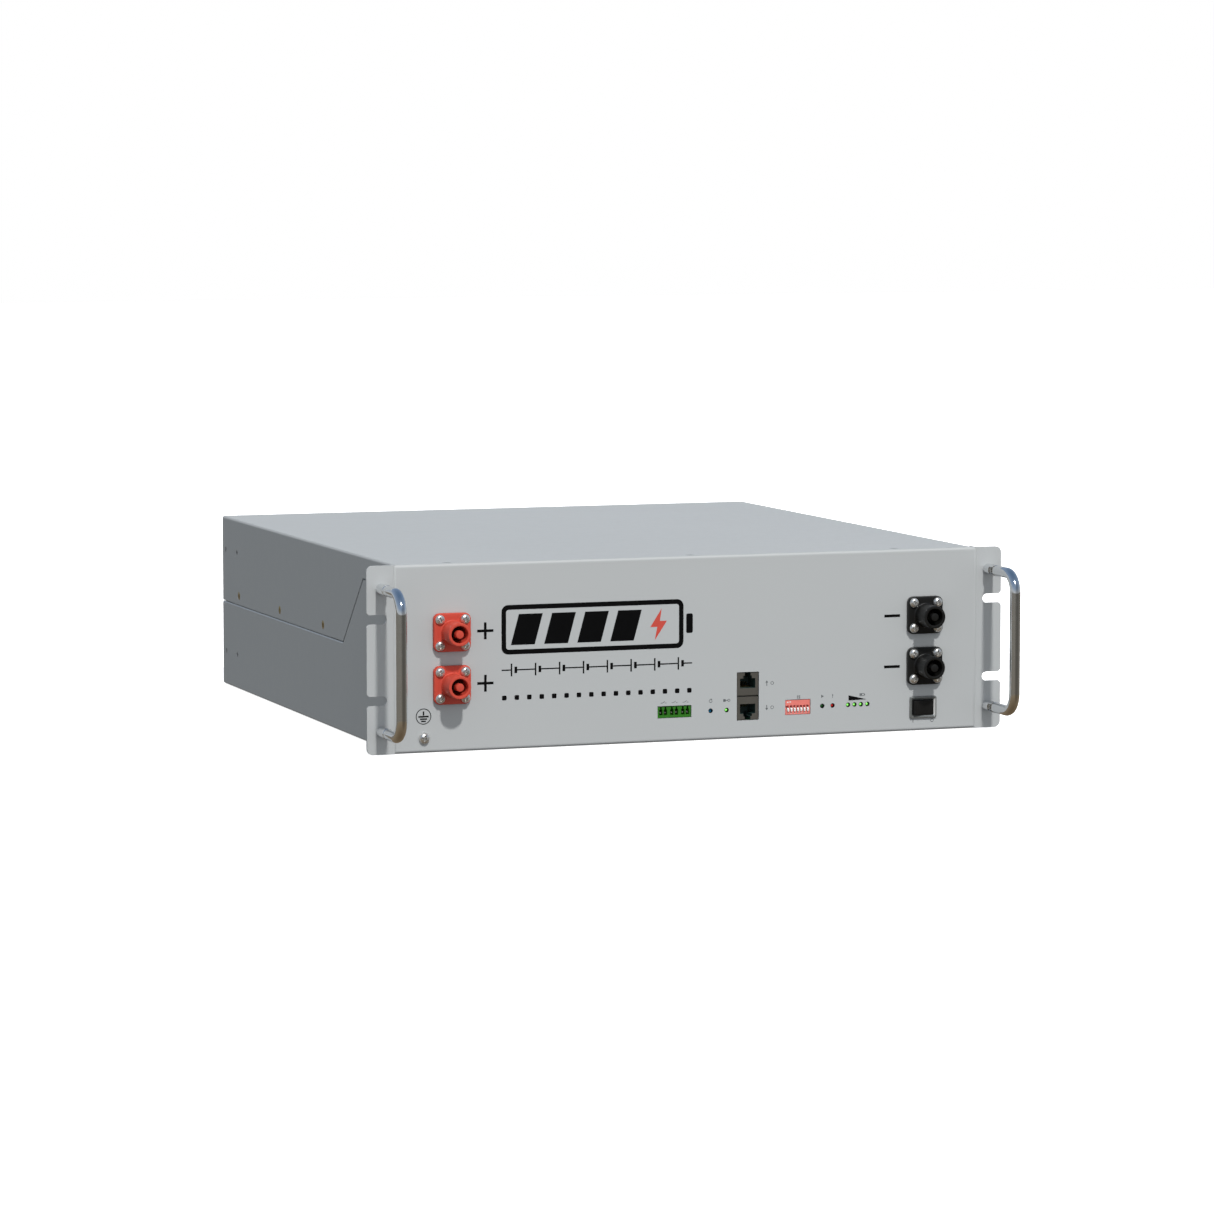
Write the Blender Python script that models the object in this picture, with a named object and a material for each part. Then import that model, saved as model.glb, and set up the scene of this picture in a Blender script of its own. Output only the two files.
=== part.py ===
"""Server rack battery: a 19-inch, three-unit steel case that holds sixteen lithium iron phosphate cells.

X runs across the rack, Y runs into the rack and Z is up. Every size below is in millimetres, measured from
the middle of the case's lower front edge: Y is 0 on the front face of the rack ears.
The finished objects are in metres, about an origin at the middle of the case's underside.
"""

import math

import bmesh
import bpy
from mathutils import Matrix, Vector

MM = 0.001
GAP = 0.3

# Case
RACK_WIDTH = 482.6
BODY_WIDTH = 440.0
HEIGHT = 132.5
DEPTH = 462.0
SHEET = 1.5
CASE_BEND = 2.0
PANEL_LIP = 3.3
PANEL_EDGE = 2.2
PANEL_SIDE_EDGE = 1.6
PANEL_FLANGE_Y = 18.0
SEAM_FRONT_Z = 116.0
SEAM_REAR_Z = 66.0
SEAM_SLOPE_Y = (79.0, 129.5)
SEAM_GAP = 0.8
COVER_TOP_SCREWS_X = (-180.0, 2.0, 160.0)
COVER_TOP_SCREW_Y = 9.0
COVER_TOP_SCREW_HEAD = 3.75
COVER_SIDE_SCREWS_Y = (182.0, 298.5, 415.0)
COVER_SIDE_SCREW_Z = 73.2
COVER_SIDE_SCREW_HEAD = 3.5
COVER_SCREW_HOLE = 1.7
COVER_LEDGE_Y = (165.0, 435.0)
REAR_HOLES_Y = (420.0, 453.0)
REAR_HOLES_Z = (26.6, 106.6)
REAR_HOLE_RADIUS = 2.0

# Rack ears and their slots, after the 3-unit panel of the 19-inch rack standard
EAR_SHEET = 2.0
EAR_BEND = 1.2
EAR_LEG = 42.0
EAR_CORNER = 4.5
EAR_STEP_Y = 10.0
EAR_STEP = 6.5
SLOT_PITCH = 57.15
SLOT_HEIGHT = 6.6
SLOT_END_X = 226.6
SLOT_CHAMFER = 1.6
EAR_SCREW_Y = 24.0
EAR_SCREWS_Z = (20.0, 66.25, 112.5)
EAR_SCREW_HEAD = 3.9
EAR_SCREW_HOLE = 2.0

# Folding handles
HANDLE_X = 230.7
HANDLE_REACH = 47.8
HANDLE_LEGS_Z = (16.25, 116.25)
ROD_RADIUS = 3.85
ROD_BEND = 14.0
POST_RADIUS = 3.95
POST_LENGTH = 15.6
PIN_Y = -11.4
PIN_RADIUS = 1.0
PIN_HOLE_RADIUS = 1.3
PIN_HALF_LENGTH = 3.6
TONGUE_HALF_WIDTH = 2.15
TONGUE_HALF_HEIGHT = 2.1
POST_STUD_RADIUS = 2.1
POST_STUD_END_Y = 7.0
FORK_CLEARANCE = 0.35
FORK_OUTER_REACH = 2.7

# Power receptacles
POSITIVE_X = -179.6
NEGATIVE_X = 180.2
UPPER_Z = 84.4
LOWER_Z = 47.4
FLANGE = 27.2
FLANGE_CORNER = 4.6
FLANGE_FRONT_Y = -3.4
BARREL_RADIUS = 8.4
BARREL_FRONT_Y = -20.2
BORE_RADIUS = 6.35
BARREL_STEPS = 20
POST_CORE_RADIUS = 2.9
CORE_PROUD = 0.8
FLANGE_SCREW_PITCH = 18.4
SOCKET_FLOOR_Y = 4.0
SOCKET_REAR_Y = 14.0
STUD_RADIUS = 2.9
STUD_DEPTH = 5.0
BAR_FRONT_Y = 14.6
BAR_THICKNESS = 3.0
CABLE_RADIUS = 4.6

# Signal row of the front panel
ROW_Z = 21.0
SWITCH_CENTRE = (179.7, 17.0)
BEZEL = (21.0, 16.2)
BEZEL_CORNER = 1.6
BEZEL_FRONT_Y = -1.5
WELL = (18.2, 11.4)
ROCKER_REACH = 8.75
ROCKER_HALF_HEIGHT = 5.35
ROCKER_PIVOT_Y = 0.5
ROCKER_TILT = math.radians(8.0)
JACK_CENTRE = (43.4, 30.4)
JACK_OPENING = (17.0, 34.8)
HEADER_CENTRE = (-12.7, 21.4)
HEADER_OPENING = (25.8, 8.8)
HEADER_PAIR_PITCH = 8.35
HEADER_WAY_PITCH = 3.5
DIP_CENTRE = (82.0, 21.0)
DIP_OPENING = (19.6, 11.0)
DIP_PITCH = 2.54
RESET_X = 14.8
MODE_LED_X = 27.1
RUN_LED_X = 101.0
ALARM_LED_X = 109.0
CHARGE_LEDS_X = (121.1, 126.15, 131.2, 136.2)
INDICATOR_HOLE_RADIUS = 1.7
GROUND_SCREW = (-199.7, 10.3)
GROUND_SCREW_HOLE = 2.8

# Boards and cells
BOARD_TOP_Z = 11.2
BOARD_THICKNESS = 1.6
CELL = (49.6, 160.0, 114.5)
CELL_PITCH_X = 50.2
CELL_ROWS_Y = (196.0, 370.0)
CELL_FLOOR_Z = 2.2
CELL_TERMINAL_Y = 62.0
TERMINAL_HEIGHT = 2.5
TERMINAL_RADIUS = 8.0

HALF_BODY = BODY_WIDTH / 2
HALF_RACK = RACK_WIDTH / 2
UNDERSIDE_CENTRE = Vector((0.0, DEPTH / 2, 0.0))
FAR = 500.0


# Materials


def linear(channel):
    value = channel / 255
    return value / 12.92 if value <= 0.04045 else ((value + 0.055) / 1.055) ** 2.4


def material(name, rgb, roughness, metallic=0.0):
    made = bpy.data.materials.get(name) or bpy.data.materials.new(name)
    made.use_nodes = True
    shader = made.node_tree.nodes["Principled BSDF"]
    shader.inputs["Base Color"].default_value = (*[linear(c) for c in rgb], 1.0)
    shader.inputs["Roughness"].default_value = roughness
    shader.inputs["Metallic"].default_value = metallic
    made.diffuse_color = (*[linear(c) for c in rgb], 1.0)
    return made


def case_paint():
    return material("case_paint", (182, 186, 188), 0.45)


def chrome():
    return material("chrome", (222, 224, 226), 0.08, 1.0)


def zinc():
    return material("zinc", (196, 198, 198), 0.3, 1.0)


def copper():
    return material("copper", (196, 120, 82), 0.28, 1.0)


def red_plastic():
    return material("red_plastic", (197, 78, 64), 0.42)


def black_plastic():
    return material("black_plastic", (30, 30, 30), 0.42)


def board_laminate():
    return material("board_laminate", (28, 92, 58), 0.5)


# Outlines and meshes


def arc(centre_u, centre_v, radius, start, end, steps):
    turns = [start + (end - start) * i / steps for i in range(steps + 1)]
    return [(centre_u + radius * math.cos(math.radians(t)), centre_v + radius * math.sin(math.radians(t)))
            for t in turns]


def circle(centre_u, centre_v, radius, steps):
    return arc(centre_u, centre_v, radius, 0.0, 360.0, steps)[:-1]


def rectangle(centre_u, centre_v, width, height):
    u, v = width / 2, height / 2
    return [(centre_u - u, centre_v - v), (centre_u + u, centre_v - v),
            (centre_u + u, centre_v + v), (centre_u - u, centre_v + v)]


def rounded_rectangle(centre_u, centre_v, width, height, radius, steps=4):
    u, v = width / 2 - radius, height / 2 - radius
    corners = ((u, v, 0.0), (-u, v, 90.0), (-u, -v, 180.0), (u, -v, 270.0))
    outline = []
    for du, dv, start in corners:
        outline += arc(centre_u + du, centre_v + dv, radius, start, start + 90.0, steps)
    return outline


def bent_sheet(path, thickness, bend, steps=4):
    """Closed outline of a sheet that follows a path of straight runs, with a round bend at each corner."""
    points = [Vector(p) for p in path]
    run = [(points[0], (points[1] - points[0]).normalized())]
    for before, corner, after in zip(points, points[1:], points[2:]):
        into = (corner - before).normalized()
        turn = into.angle_signed((after - corner).normalized())
        start = corner - into * bend * math.tan(abs(turn) / 2)
        centre = start + Vector((into.y, -into.x)) * math.copysign(bend, turn)
        for i in range(steps + 1):
            swing = Matrix.Rotation(-turn * i / steps, 2)
            run.append((centre + swing @ (start - centre), swing @ into))
    run.append((points[-1], (points[-1] - points[-2]).normalized()))
    sides = [Vector((-along.y, along.x)) * thickness / 2 for _, along in run]
    left = [tuple(point + side) for (point, _), side in zip(run, sides)]
    right = [tuple(point - side) for (point, _), side in zip(run, sides)]
    return left + right[::-1]


def prism(mesh, outline, axis, low, high):
    """Adds the outline extruded along an axis. It is in YZ for axis X, in XZ for Y and in XY for Z."""
    orders = {"X": lambda u, v, w: (w, u, v), "Y": lambda u, v, w: (u, w, v), "Z": lambda u, v, w: (u, v, w)}
    place = orders[axis]
    near = [mesh.verts.new(place(u, v, low)) for u, v in outline]
    far = [mesh.verts.new(place(u, v, high)) for u, v in outline]
    mesh.faces.new(near)
    mesh.faces.new(far[::-1])
    for i in range(len(outline)):
        j = (i + 1) % len(outline)
        mesh.faces.new((near[i], far[i], far[j], near[j]))


def box(mesh, x, y, z):
    prism(mesh, [(x[0], y[0]), (x[1], y[0]), (x[1], y[1]), (x[0], y[1])], "Z", z[0], z[1])


def lathe(mesh, profile, centre, steps):
    """Adds a turned body about a line along Y. The profile is (radius, y) and starts and ends on the line."""
    rings = []
    for radius, y in profile:
        if radius == 0.0:
            rings.append([mesh.verts.new((centre[0], y, centre[1]))])
        else:
            rings.append([mesh.verts.new((u, y, v)) for u, v in circle(centre[0], centre[1], radius, steps)])
    for one, two in zip(rings, rings[1:]):
        for i in range(steps):
            j = (i + 1) % steps
            if len(one) == 1:
                mesh.faces.new((one[0], two[i], two[j]))
            elif len(two) == 1:
                mesh.faces.new((one[i], two[0], one[j]))
            else:
                mesh.faces.new((one[i], two[i], two[j], one[j]))


def tube(mesh, path, radius, steps):
    """Adds a round bar along a path of points, square to the path at every point."""
    points = [Vector(p) for p in path]
    along = (points[1] - points[0]).normalized()
    side = along.orthogonal().normalized()
    rings = []
    for i, point in enumerate(points):
        ahead = (points[min(i + 1, len(points) - 1)] - points[max(i - 1, 0)]).normalized()
        side = (along.rotation_difference(ahead) @ side).normalized()
        along = ahead
        other = along.cross(side)
        rings.append([mesh.verts.new(point + side * u + other * v) for u, v in circle(0.0, 0.0, radius, steps)])
    for one, two in zip(rings, rings[1:]):
        for i in range(steps):
            j = (i + 1) % steps
            mesh.faces.new((one[i], two[i], two[j], one[j]))
    mesh.faces.new(rings[0])
    mesh.faces.new(rings[-1][::-1])


def smooth_path(corners, radius, steps=4):
    """Points along straight runs between 3-D corners, with each inner corner rounded off."""
    points = [Vector(c) for c in corners]
    path = [points[0]]
    for before, corner, after in zip(points, points[1:], points[2:]):
        start = corner + (before - corner).normalized() * radius
        end = corner + (after - corner).normalized() * radius
        for i in range(steps + 1):
            t = i / steps
            path.append(start * (1 - t) ** 2 + corner * 2 * t * (1 - t) + end * t ** 2)
    return path + [points[-1]]


# Objects


def clear_scene():
    for obj in list(bpy.data.objects):
        bpy.data.objects.remove(obj, do_unlink=True)


def make_object(name, mesh, origin):
    bmesh.ops.recalc_face_normals(mesh, faces=mesh.faces)
    bmesh.ops.translate(mesh, vec=-Vector(origin), verts=mesh.verts)
    bmesh.ops.scale(mesh, vec=(MM, MM, MM), verts=mesh.verts)
    data = bpy.data.meshes.new(name)
    mesh.to_mesh(data)
    mesh.free()
    obj = bpy.data.objects.new(name, data)
    obj.location = (Vector(origin) - UNDERSIDE_CENTRE) * MM
    bpy.context.scene.collection.objects.link(obj)
    return obj


def add_part(name, mesh, look, origin=(0.0, 0.0, 0.0)):
    part = make_object(name, mesh, origin)
    part.data.materials.append(look)
    part.data.shade_smooth()
    part.data.set_sharp_from_angle(angle=math.radians(32.0))
    return part


def make_helper(name, mesh):
    """A body that only shapes parts, and is not itself a part."""
    helper = make_object(name, mesh, (0.0, 0.0, 0.0))
    helper.hide_render = True
    helper.display_type = "WIRE"
    return helper


def apply_boolean(part, helper, operation, label):
    step = part.modifiers.new(label, "BOOLEAN")
    step.operation = operation
    step.solver = "EXACT"
    step.object = helper


def combine(part, mesh, operation, label):
    apply_boolean(part, make_helper(f"{part.name}_{label}", mesh), operation, label)


def cut(part, mesh, label="cutter"):
    combine(part, mesh, "DIFFERENCE", label)


def weld(part, mesh, label="welded"):
    combine(part, mesh, "UNION", label)


# Case


def seam(offset):
    """The line in YZ along which the cover's sides meet the tray's sides, from front to back."""
    low, high = SEAM_REAR_Z + offset, SEAM_FRONT_Z + offset
    return [(-FAR, high), (SEAM_SLOPE_Y[0], high), (SEAM_SLOPE_Y[1], low), (FAR, low)]


def side_holes(mesh, side, holes, radius, steps=8):
    """Round holes through a side wall, at (y, z) places."""
    ends = sorted((side * (HALF_BODY - 4.0), side * (HALF_BODY + 4.0)))
    for y, z in holes:
        prism(mesh, circle(y, z, radius, steps), "X", *ends)


def countersink(mesh, place, outward, head_radius, shank_radius=COVER_SCREW_HOLE, depth=SHEET + 0.4, steps=10):
    """A cone-shaped seat for a flush screw, with its wide end just proud of the surface."""
    outward = Vector(outward)
    turn = outward.to_track_quat("Z", "Y")
    wide, narrow = [], []
    for u, v in circle(0.0, 0.0, 1.0, steps):
        for ring, radius, height in ((wide, head_radius, 0.1), (narrow, shank_radius, -depth)):
            ring.append(mesh.verts.new(Vector(place) + turn @ Vector((u * radius, v * radius, height))))
    for i in range(steps):
        j = (i + 1) % steps
        mesh.faces.new((wide[i], wide[j], narrow[j], narrow[i]))
    mesh.faces.new(wide[::-1])
    mesh.faces.new(narrow)


def chassis_tray():
    middle = HALF_BODY - SHEET / 2
    top = SEAM_FRONT_Z + 5.0
    mesh = bmesh.new()
    path = [(-middle, top), (-middle, SHEET / 2), (middle, SHEET / 2), (middle, top)]
    prism(mesh, bent_sheet(path, SHEET, CASE_BEND), "Y", PANEL_LIP + GAP, DEPTH)
    tray = add_part("chassis_tray", mesh, case_paint())

    above = bmesh.new()
    prism(above, seam(-SEAM_GAP / 2) + [(FAR, FAR), (-FAR, FAR)], "X", -FAR, FAR)
    cut(tray, above, "seam")

    inner = HALF_BODY - SHEET - GAP
    shoulder = SEAM_REAR_Z - 1.0
    top_z = HEIGHT - SHEET - GAP
    extra = bmesh.new()
    rear = [(-middle, SHEET / 2), (middle, SHEET / 2), (middle, shoulder), (inner, shoulder),
            (inner, top_z - 1.5), (inner - 1.5, top_z), (1.5 - inner, top_z), (-inner, top_z - 1.5),
            (-inner, shoulder), (-middle, shoulder)]
    prism(extra, rear, "Y", DEPTH - 2.0, DEPTH - 0.5)
    for side in (-1, 1):
        ledge = [(side * (inner - 1.4), 50.0), (side * (inner + 0.7), 50.0), (side * (inner + 0.7), shoulder),
                 (side * inner, shoulder), (side * inner, 81.0), (side * (inner - 1.4), 81.0)]
        prism(extra, ledge, "Y", *COVER_LEDGE_Y)
    weld(tray, extra, "rear_wall_and_ledges")

    holes = bmesh.new()
    for side in (-1, 1):
        side_holes(holes, side, [(y, REAR_HOLES_Z[0]) for y in REAR_HOLES_Y], REAR_HOLE_RADIUS)
        side_holes(holes, side, [(EAR_SCREW_Y, z) for z in EAR_SCREWS_Z], EAR_SCREW_HOLE)
        side_holes(holes, side, [(y, COVER_SIDE_SCREW_Z) for y in COVER_SIDE_SCREWS_Y], COVER_SCREW_HOLE)
    cut(tray, holes, "holes")


def top_cover():
    middle = HALF_BODY - SHEET / 2
    mesh = bmesh.new()
    path = [(middle, SEAM_REAR_Z - 5.0), (middle, HEIGHT - SHEET / 2), (-middle, HEIGHT - SHEET / 2),
            (-middle, SEAM_REAR_Z - 5.0)]
    prism(mesh, bent_sheet(path, SHEET, CASE_BEND), "Y", PANEL_LIP + GAP, DEPTH)
    cover = add_part("top_cover", mesh, case_paint())

    below = bmesh.new()
    prism(below, seam(SEAM_GAP / 2) + [(FAR, -FAR), (-FAR, -FAR)], "X", -FAR, FAR)
    cut(cover, below, "seam")

    holes = bmesh.new()
    for x in COVER_TOP_SCREWS_X:
        countersink(holes, (x, COVER_TOP_SCREW_Y, HEIGHT), (0, 0, 1), COVER_TOP_SCREW_HEAD)
    for side in (-1, 1):
        for y in COVER_SIDE_SCREWS_Y:
            countersink(holes, (side * HALF_BODY, y, COVER_SIDE_SCREW_Z), (side, 0, 0), COVER_SIDE_SCREW_HEAD)
        side_holes(holes, side, [(y, REAR_HOLES_Z[1]) for y in REAR_HOLES_Y], REAR_HOLE_RADIUS)
    cut(cover, holes, "holes")


def panel_section():
    """Section of the front panel in YZ: the face, a round edge and a lip at top and bottom, and a screw flange
    just inside the case behind each lip."""
    under_lip = HEIGHT - SHEET
    step_y, flange_top = PANEL_EDGE + 0.2, under_lip - GAP
    upper = arc(PANEL_EDGE, HEIGHT - PANEL_EDGE, PANEL_EDGE, 180.0, 90.0, 5)
    upper += [(PANEL_LIP, HEIGHT), (PANEL_LIP, under_lip), (step_y, under_lip), (step_y, flange_top),
              (PANEL_FLANGE_Y, flange_top), (PANEL_FLANGE_Y, flange_top - SHEET), (SHEET, flange_top - SHEET)]
    lower = [(y, HEIGHT - z) for y, z in reversed(upper)]
    return upper + lower


def front_panel():
    half = HALF_BODY - GAP
    mesh = bmesh.new()
    prism(mesh, panel_section(), "X", -half - 2.0, half + 2.0)
    panel = add_part("front_panel", mesh, case_paint())

    edge, behind, inner = PANEL_SIDE_EDGE, PANEL_LIP + 0.1, HALF_BODY - SHEET - 1.0
    outline = arc(-half + edge, edge - 0.01, edge, 180.0, 270.0, 4)
    outline += arc(half - edge, edge - 0.01, edge, 270.0, 360.0, 4)
    outline += [(half, behind), (inner, behind), (inner, 20.0)]
    outline += [(-inner, 20.0), (-inner, behind), (-half, behind)]
    allowed = bmesh.new()
    prism(allowed, outline, "Z", -5.0, HEIGHT + 5.0)
    combine(panel, allowed, "INTERSECT", "outline")

    holes = bmesh.new()
    through = (-1.0, SHEET + 1.0)
    for x, z in receptacle_places():
        prism(holes, circle(x, z, BARREL_RADIUS + 2 * GAP, 20), "Y", *through)
        for screw in flange_screws(x, z):
            prism(holes, circle(*screw, 1.5, 6), "Y", *through)
    prism(holes, rectangle(*SWITCH_CENTRE, BEZEL[0] - 1.6, BEZEL[1] - 1.6), "Y", *through)
    prism(holes, rounded_rectangle(*JACK_CENTRE, *JACK_OPENING, 0.5, 2), "Y", *through)
    prism(holes, rectangle(*HEADER_CENTRE, *HEADER_OPENING), "Y", *through)
    prism(holes, rectangle(*DIP_CENTRE, *DIP_OPENING), "Y", *through)
    for x in (RESET_X, MODE_LED_X, RUN_LED_X, ALARM_LED_X, *CHARGE_LEDS_X):
        prism(holes, circle(x, ROW_Z, INDICATOR_HOLE_RADIUS, 12), "Y", *through)
    prism(holes, circle(*GROUND_SCREW, GROUND_SCREW_HOLE, 10), "Y", *through)
    cut(panel, holes, "openings")

    top_holes = bmesh.new()
    for x in COVER_TOP_SCREWS_X:
        prism(top_holes, circle(x, COVER_TOP_SCREW_Y, COVER_SCREW_HOLE, 8), "Z", HEIGHT - 6.0, HEIGHT + 2.0)
    cut(panel, top_holes, "screw_holes")


def rack_ear(name, side):
    leg_x = side * (HALF_BODY + GAP + EAR_SHEET / 2)
    mesh = bmesh.new()
    path = [(leg_x, EAR_LEG), (leg_x, EAR_SHEET / 2), (side * HALF_RACK, EAR_SHEET / 2)]
    prism(mesh, bent_sheet(path, EAR_SHEET, EAR_BEND, 5), "Z", 0.0, HEIGHT)
    ear = add_part(name, mesh, case_paint())

    openings = bmesh.new()
    through = (-1.0, EAR_SHEET + 1.0)
    half = SLOT_HEIGHT / 2
    for z in (HEIGHT / 2 - SLOT_PITCH / 2, HEIGHT / 2 + SLOT_PITCH / 2):
        mouth = [(HALF_RACK - SLOT_CHAMFER, z - half), (HALF_RACK, z - half - SLOT_CHAMFER),
                 (HALF_RACK + 2.0, z - half - SLOT_CHAMFER), (HALF_RACK + 2.0, z + half + SLOT_CHAMFER),
                 (HALF_RACK, z + half + SLOT_CHAMFER), (HALF_RACK - SLOT_CHAMFER, z + half)]
        slot = mouth + arc(SLOT_END_X + half, z, half, 90.0, 270.0, 7)
        prism(openings, [(side * x, v) for x, v in slot], "Y", *through)
    for z, sense in ((0.0, 1), (HEIGHT, -1)):
        centre = (HALF_RACK - EAR_CORNER, z + sense * EAR_CORNER)
        corner = arc(*centre, EAR_CORNER, 0.0, -90.0 * sense, 5)
        corner += [(HALF_RACK - EAR_CORNER, z - 2.0 * sense), (HALF_RACK + 2.0, z - 2.0 * sense),
                   (HALF_RACK + 2.0, z + sense * EAR_CORNER)]
        prism(openings, [(side * x, v) for x, v in corner], "Y", *through)
    for z in HANDLE_LEGS_Z:
        prism(openings, circle(side * HANDLE_X, z, POST_STUD_RADIUS + GAP, 10), "Y", *through)
    across = sorted((side * HALF_BODY, side * (HALF_BODY + GAP + EAR_SHEET + 2.0)))
    for z, sense in ((0.0, 1), (HEIGHT, -1)):
        step = [(EAR_STEP_Y, z - 2.0 * sense), (EAR_STEP_Y, z), (EAR_STEP_Y + EAR_STEP, z + sense * EAR_STEP),
                (EAR_LEG + 2.0, z + sense * EAR_STEP), (EAR_LEG + 2.0, z - 2.0 * sense)]
        prism(openings, step, "X", *across)
    surface = side * (HALF_BODY + GAP + EAR_SHEET)
    for z in EAR_SCREWS_Z:
        countersink(openings, (surface, EAR_SCREW_Y, z), (side, 0, 0), EAR_SCREW_HEAD, EAR_SCREW_HOLE,
                    EAR_SHEET + 0.4)
    cut(ear, openings, "openings")


# Handles


def handle_post(name, side, z):
    """Fixed end of a handle: a round post with a threaded stud, forked for the handle's tongue. The fork opens
    to the front and towards the panel, and its inner front edge is rounded about the hinge pin."""
    x = side * HANDLE_X
    mesh = bmesh.new()
    rounding = 0.35
    profile = [(0.0, -POST_LENGTH), (POST_RADIUS - rounding, -POST_LENGTH),
               (POST_RADIUS, -POST_LENGTH + rounding), (POST_RADIUS, -GAP), (POST_STUD_RADIUS, -GAP),
               (POST_STUD_RADIUS, POST_STUD_END_Y), (0.0, POST_STUD_END_Y)]
    lathe(mesh, profile, (x, z), 16)
    post = add_part(name, mesh, chrome())

    fork = bmesh.new()
    across = sorted((x - side * 6.0, x + side * FORK_OUTER_REACH))
    fork_half = TONGUE_HALF_HEIGHT + FORK_CLEARANCE
    fork_floor = PIN_Y + TONGUE_HALF_WIDTH + FORK_CLEARANCE
    box(fork, across, (-POST_LENGTH - 2.0, fork_floor), (z - fork_half, z + fork_half))
    cut(post, fork, "fork")

    edge = bmesh.new()
    swing = PIN_Y + POST_LENGTH
    turned = [(x - side * u, PIN_Y - v) for u, v in arc(0.0, 0.0, swing, 5.0, 85.0, 5)]
    outer = [(turned[-1][0], PIN_Y - 7.0), (x - side * 7.0, PIN_Y - 7.0), (x - side * 7.0, turned[0][1])]
    prism(edge, turned + outer, "Z", z - 6.0, z + 6.0)
    cut(post, edge, "rounded_edge")

    hole = bmesh.new()
    prism(hole, circle(x, PIN_Y, PIN_HOLE_RADIUS, 8), "Z", z - 6.0, z + 6.0)
    cut(post, hole, "pin_hole")


def hinge_pin(name, side, z):
    mesh = bmesh.new()
    prism(mesh, circle(side * HANDLE_X, PIN_Y, PIN_RADIUS, 8), "Z", z - PIN_HALF_LENGTH, z + PIN_HALF_LENGTH)
    add_part(name, mesh, zinc())


def handle_path(side):
    x = side * HANDLE_X
    low, high = HANDLE_LEGS_Z
    bend_y = -HANDLE_REACH + ROD_BEND
    path = [(x, -POST_LENGTH - GAP, high)]
    path += [(x, y, z) for y, z in arc(bend_y, high - ROD_BEND, ROD_BEND, 90.0, 180.0, 6)]
    path += [(x, y, z) for y, z in arc(bend_y, low + ROD_BEND, ROD_BEND, 180.0, 270.0, 6)]
    return path + [(x, -POST_LENGTH - GAP, low)]


def folding_handle(name, side):
    """A round bar bent into a U, with a flat tongue on each leg that turns on a hinge pin."""
    x = side * HANDLE_X
    mesh = bmesh.new()
    tube(mesh, handle_path(side), ROD_RADIUS, 14)
    handle = add_part(name, mesh, chrome(), origin=(x, PIN_Y, HEIGHT / 2))

    tongues = bmesh.new()
    eye = arc(x, PIN_Y, TONGUE_HALF_WIDTH, 0.0, 180.0, 6)
    outline = eye + [(x - TONGUE_HALF_WIDTH, -POST_LENGTH - 4.0), (x + TONGUE_HALF_WIDTH, -POST_LENGTH - 4.0)]
    for z in HANDLE_LEGS_Z:
        prism(tongues, outline, "Z", z - TONGUE_HALF_HEIGHT, z + TONGUE_HALF_HEIGHT)
    weld(handle, tongues, "tongues")

    holes = bmesh.new()
    for z in HANDLE_LEGS_Z:
        prism(holes, circle(x, PIN_Y, PIN_HOLE_RADIUS, 8), "Z", z - 5.0, z + 5.0)
    cut(handle, holes, "pin_holes")


# Power receptacles and the copper behind them


def receptacle_places():
    return [(x, z) for x in (POSITIVE_X, NEGATIVE_X) for z in (UPPER_Z, LOWER_Z)]


def flange_screws(x, z):
    reach = FLANGE_SCREW_PITCH / 2
    return [(x + dx * reach, z + dz * reach) for dx in (-1, 1) for dz in (-1, 1)]


def power_receptacle(name, x, z, look):
    """Insulated barrel with a touch-safe core, a square flange in front of the panel and a body behind it."""
    front, tip, stud_seat = BARREL_FRONT_Y, BARREL_FRONT_Y - CORE_PROUD, SOCKET_REAR_Y - STUD_DEPTH
    profile = [(0.0, tip), (POST_CORE_RADIUS, tip), (POST_CORE_RADIUS, SOCKET_FLOOR_Y),
               (BORE_RADIUS, SOCKET_FLOOR_Y), (BORE_RADIUS, front), (BARREL_RADIUS, front),
               (BARREL_RADIUS, SOCKET_REAR_Y), (STUD_RADIUS + 0.4, SOCKET_REAR_Y),
               (STUD_RADIUS + 0.4, stud_seat), (0.0, stud_seat)]
    mesh = bmesh.new()
    lathe(mesh, profile, (x, z), BARREL_STEPS)
    shell = add_part(name, mesh, look)

    plate = bmesh.new()
    prism(plate, rounded_rectangle(x, z, FLANGE, FLANGE, FLANGE_CORNER, 3), "Y", FLANGE_FRONT_Y, -GAP)
    flange = make_helper(f"{name}_flange", plate)
    bore = bmesh.new()
    prism(bore, circle(x, z, BORE_RADIUS + 1.0, BARREL_STEPS), "Y", FLANGE_FRONT_Y - 2.0, 2.0)
    cut(flange, bore, "bore")
    apply_boolean(shell, flange, "UNION", "flange")

    holes = bmesh.new()
    for screw in flange_screws(x, z):
        prism(holes, circle(*screw, 1.7, 6), "Y", FLANGE_FRONT_Y - 1.0, 1.0)
    cut(shell, holes, "screw_holes")


def terminal_bar(name, x):
    """Copper bar that joins the studs of the two receptacles of one pole."""
    mesh = bmesh.new()
    outline = rounded_rectangle(x, (UPPER_Z + LOWER_Z) / 2, 16.0, 56.0, 2.0, 1)
    prism(mesh, outline, "Y", BAR_FRONT_Y, BAR_FRONT_Y + BAR_THICKNESS)
    bar = add_part(name, mesh, copper())
    studs = bmesh.new()
    for z in (UPPER_Z, LOWER_Z):
        prism(studs, circle(x, z, STUD_RADIUS, 10), "Y", SOCKET_REAR_Y - STUD_DEPTH + 0.4, 22.0)
    weld(bar, studs, "studs")


def power_cable(name, corners, look):
    mesh = bmesh.new()
    tube(mesh, smooth_path(corners, 18.0), CABLE_RADIUS, 8)
    add_part(name, mesh, look)


# Switches, jacks and indicators


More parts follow.
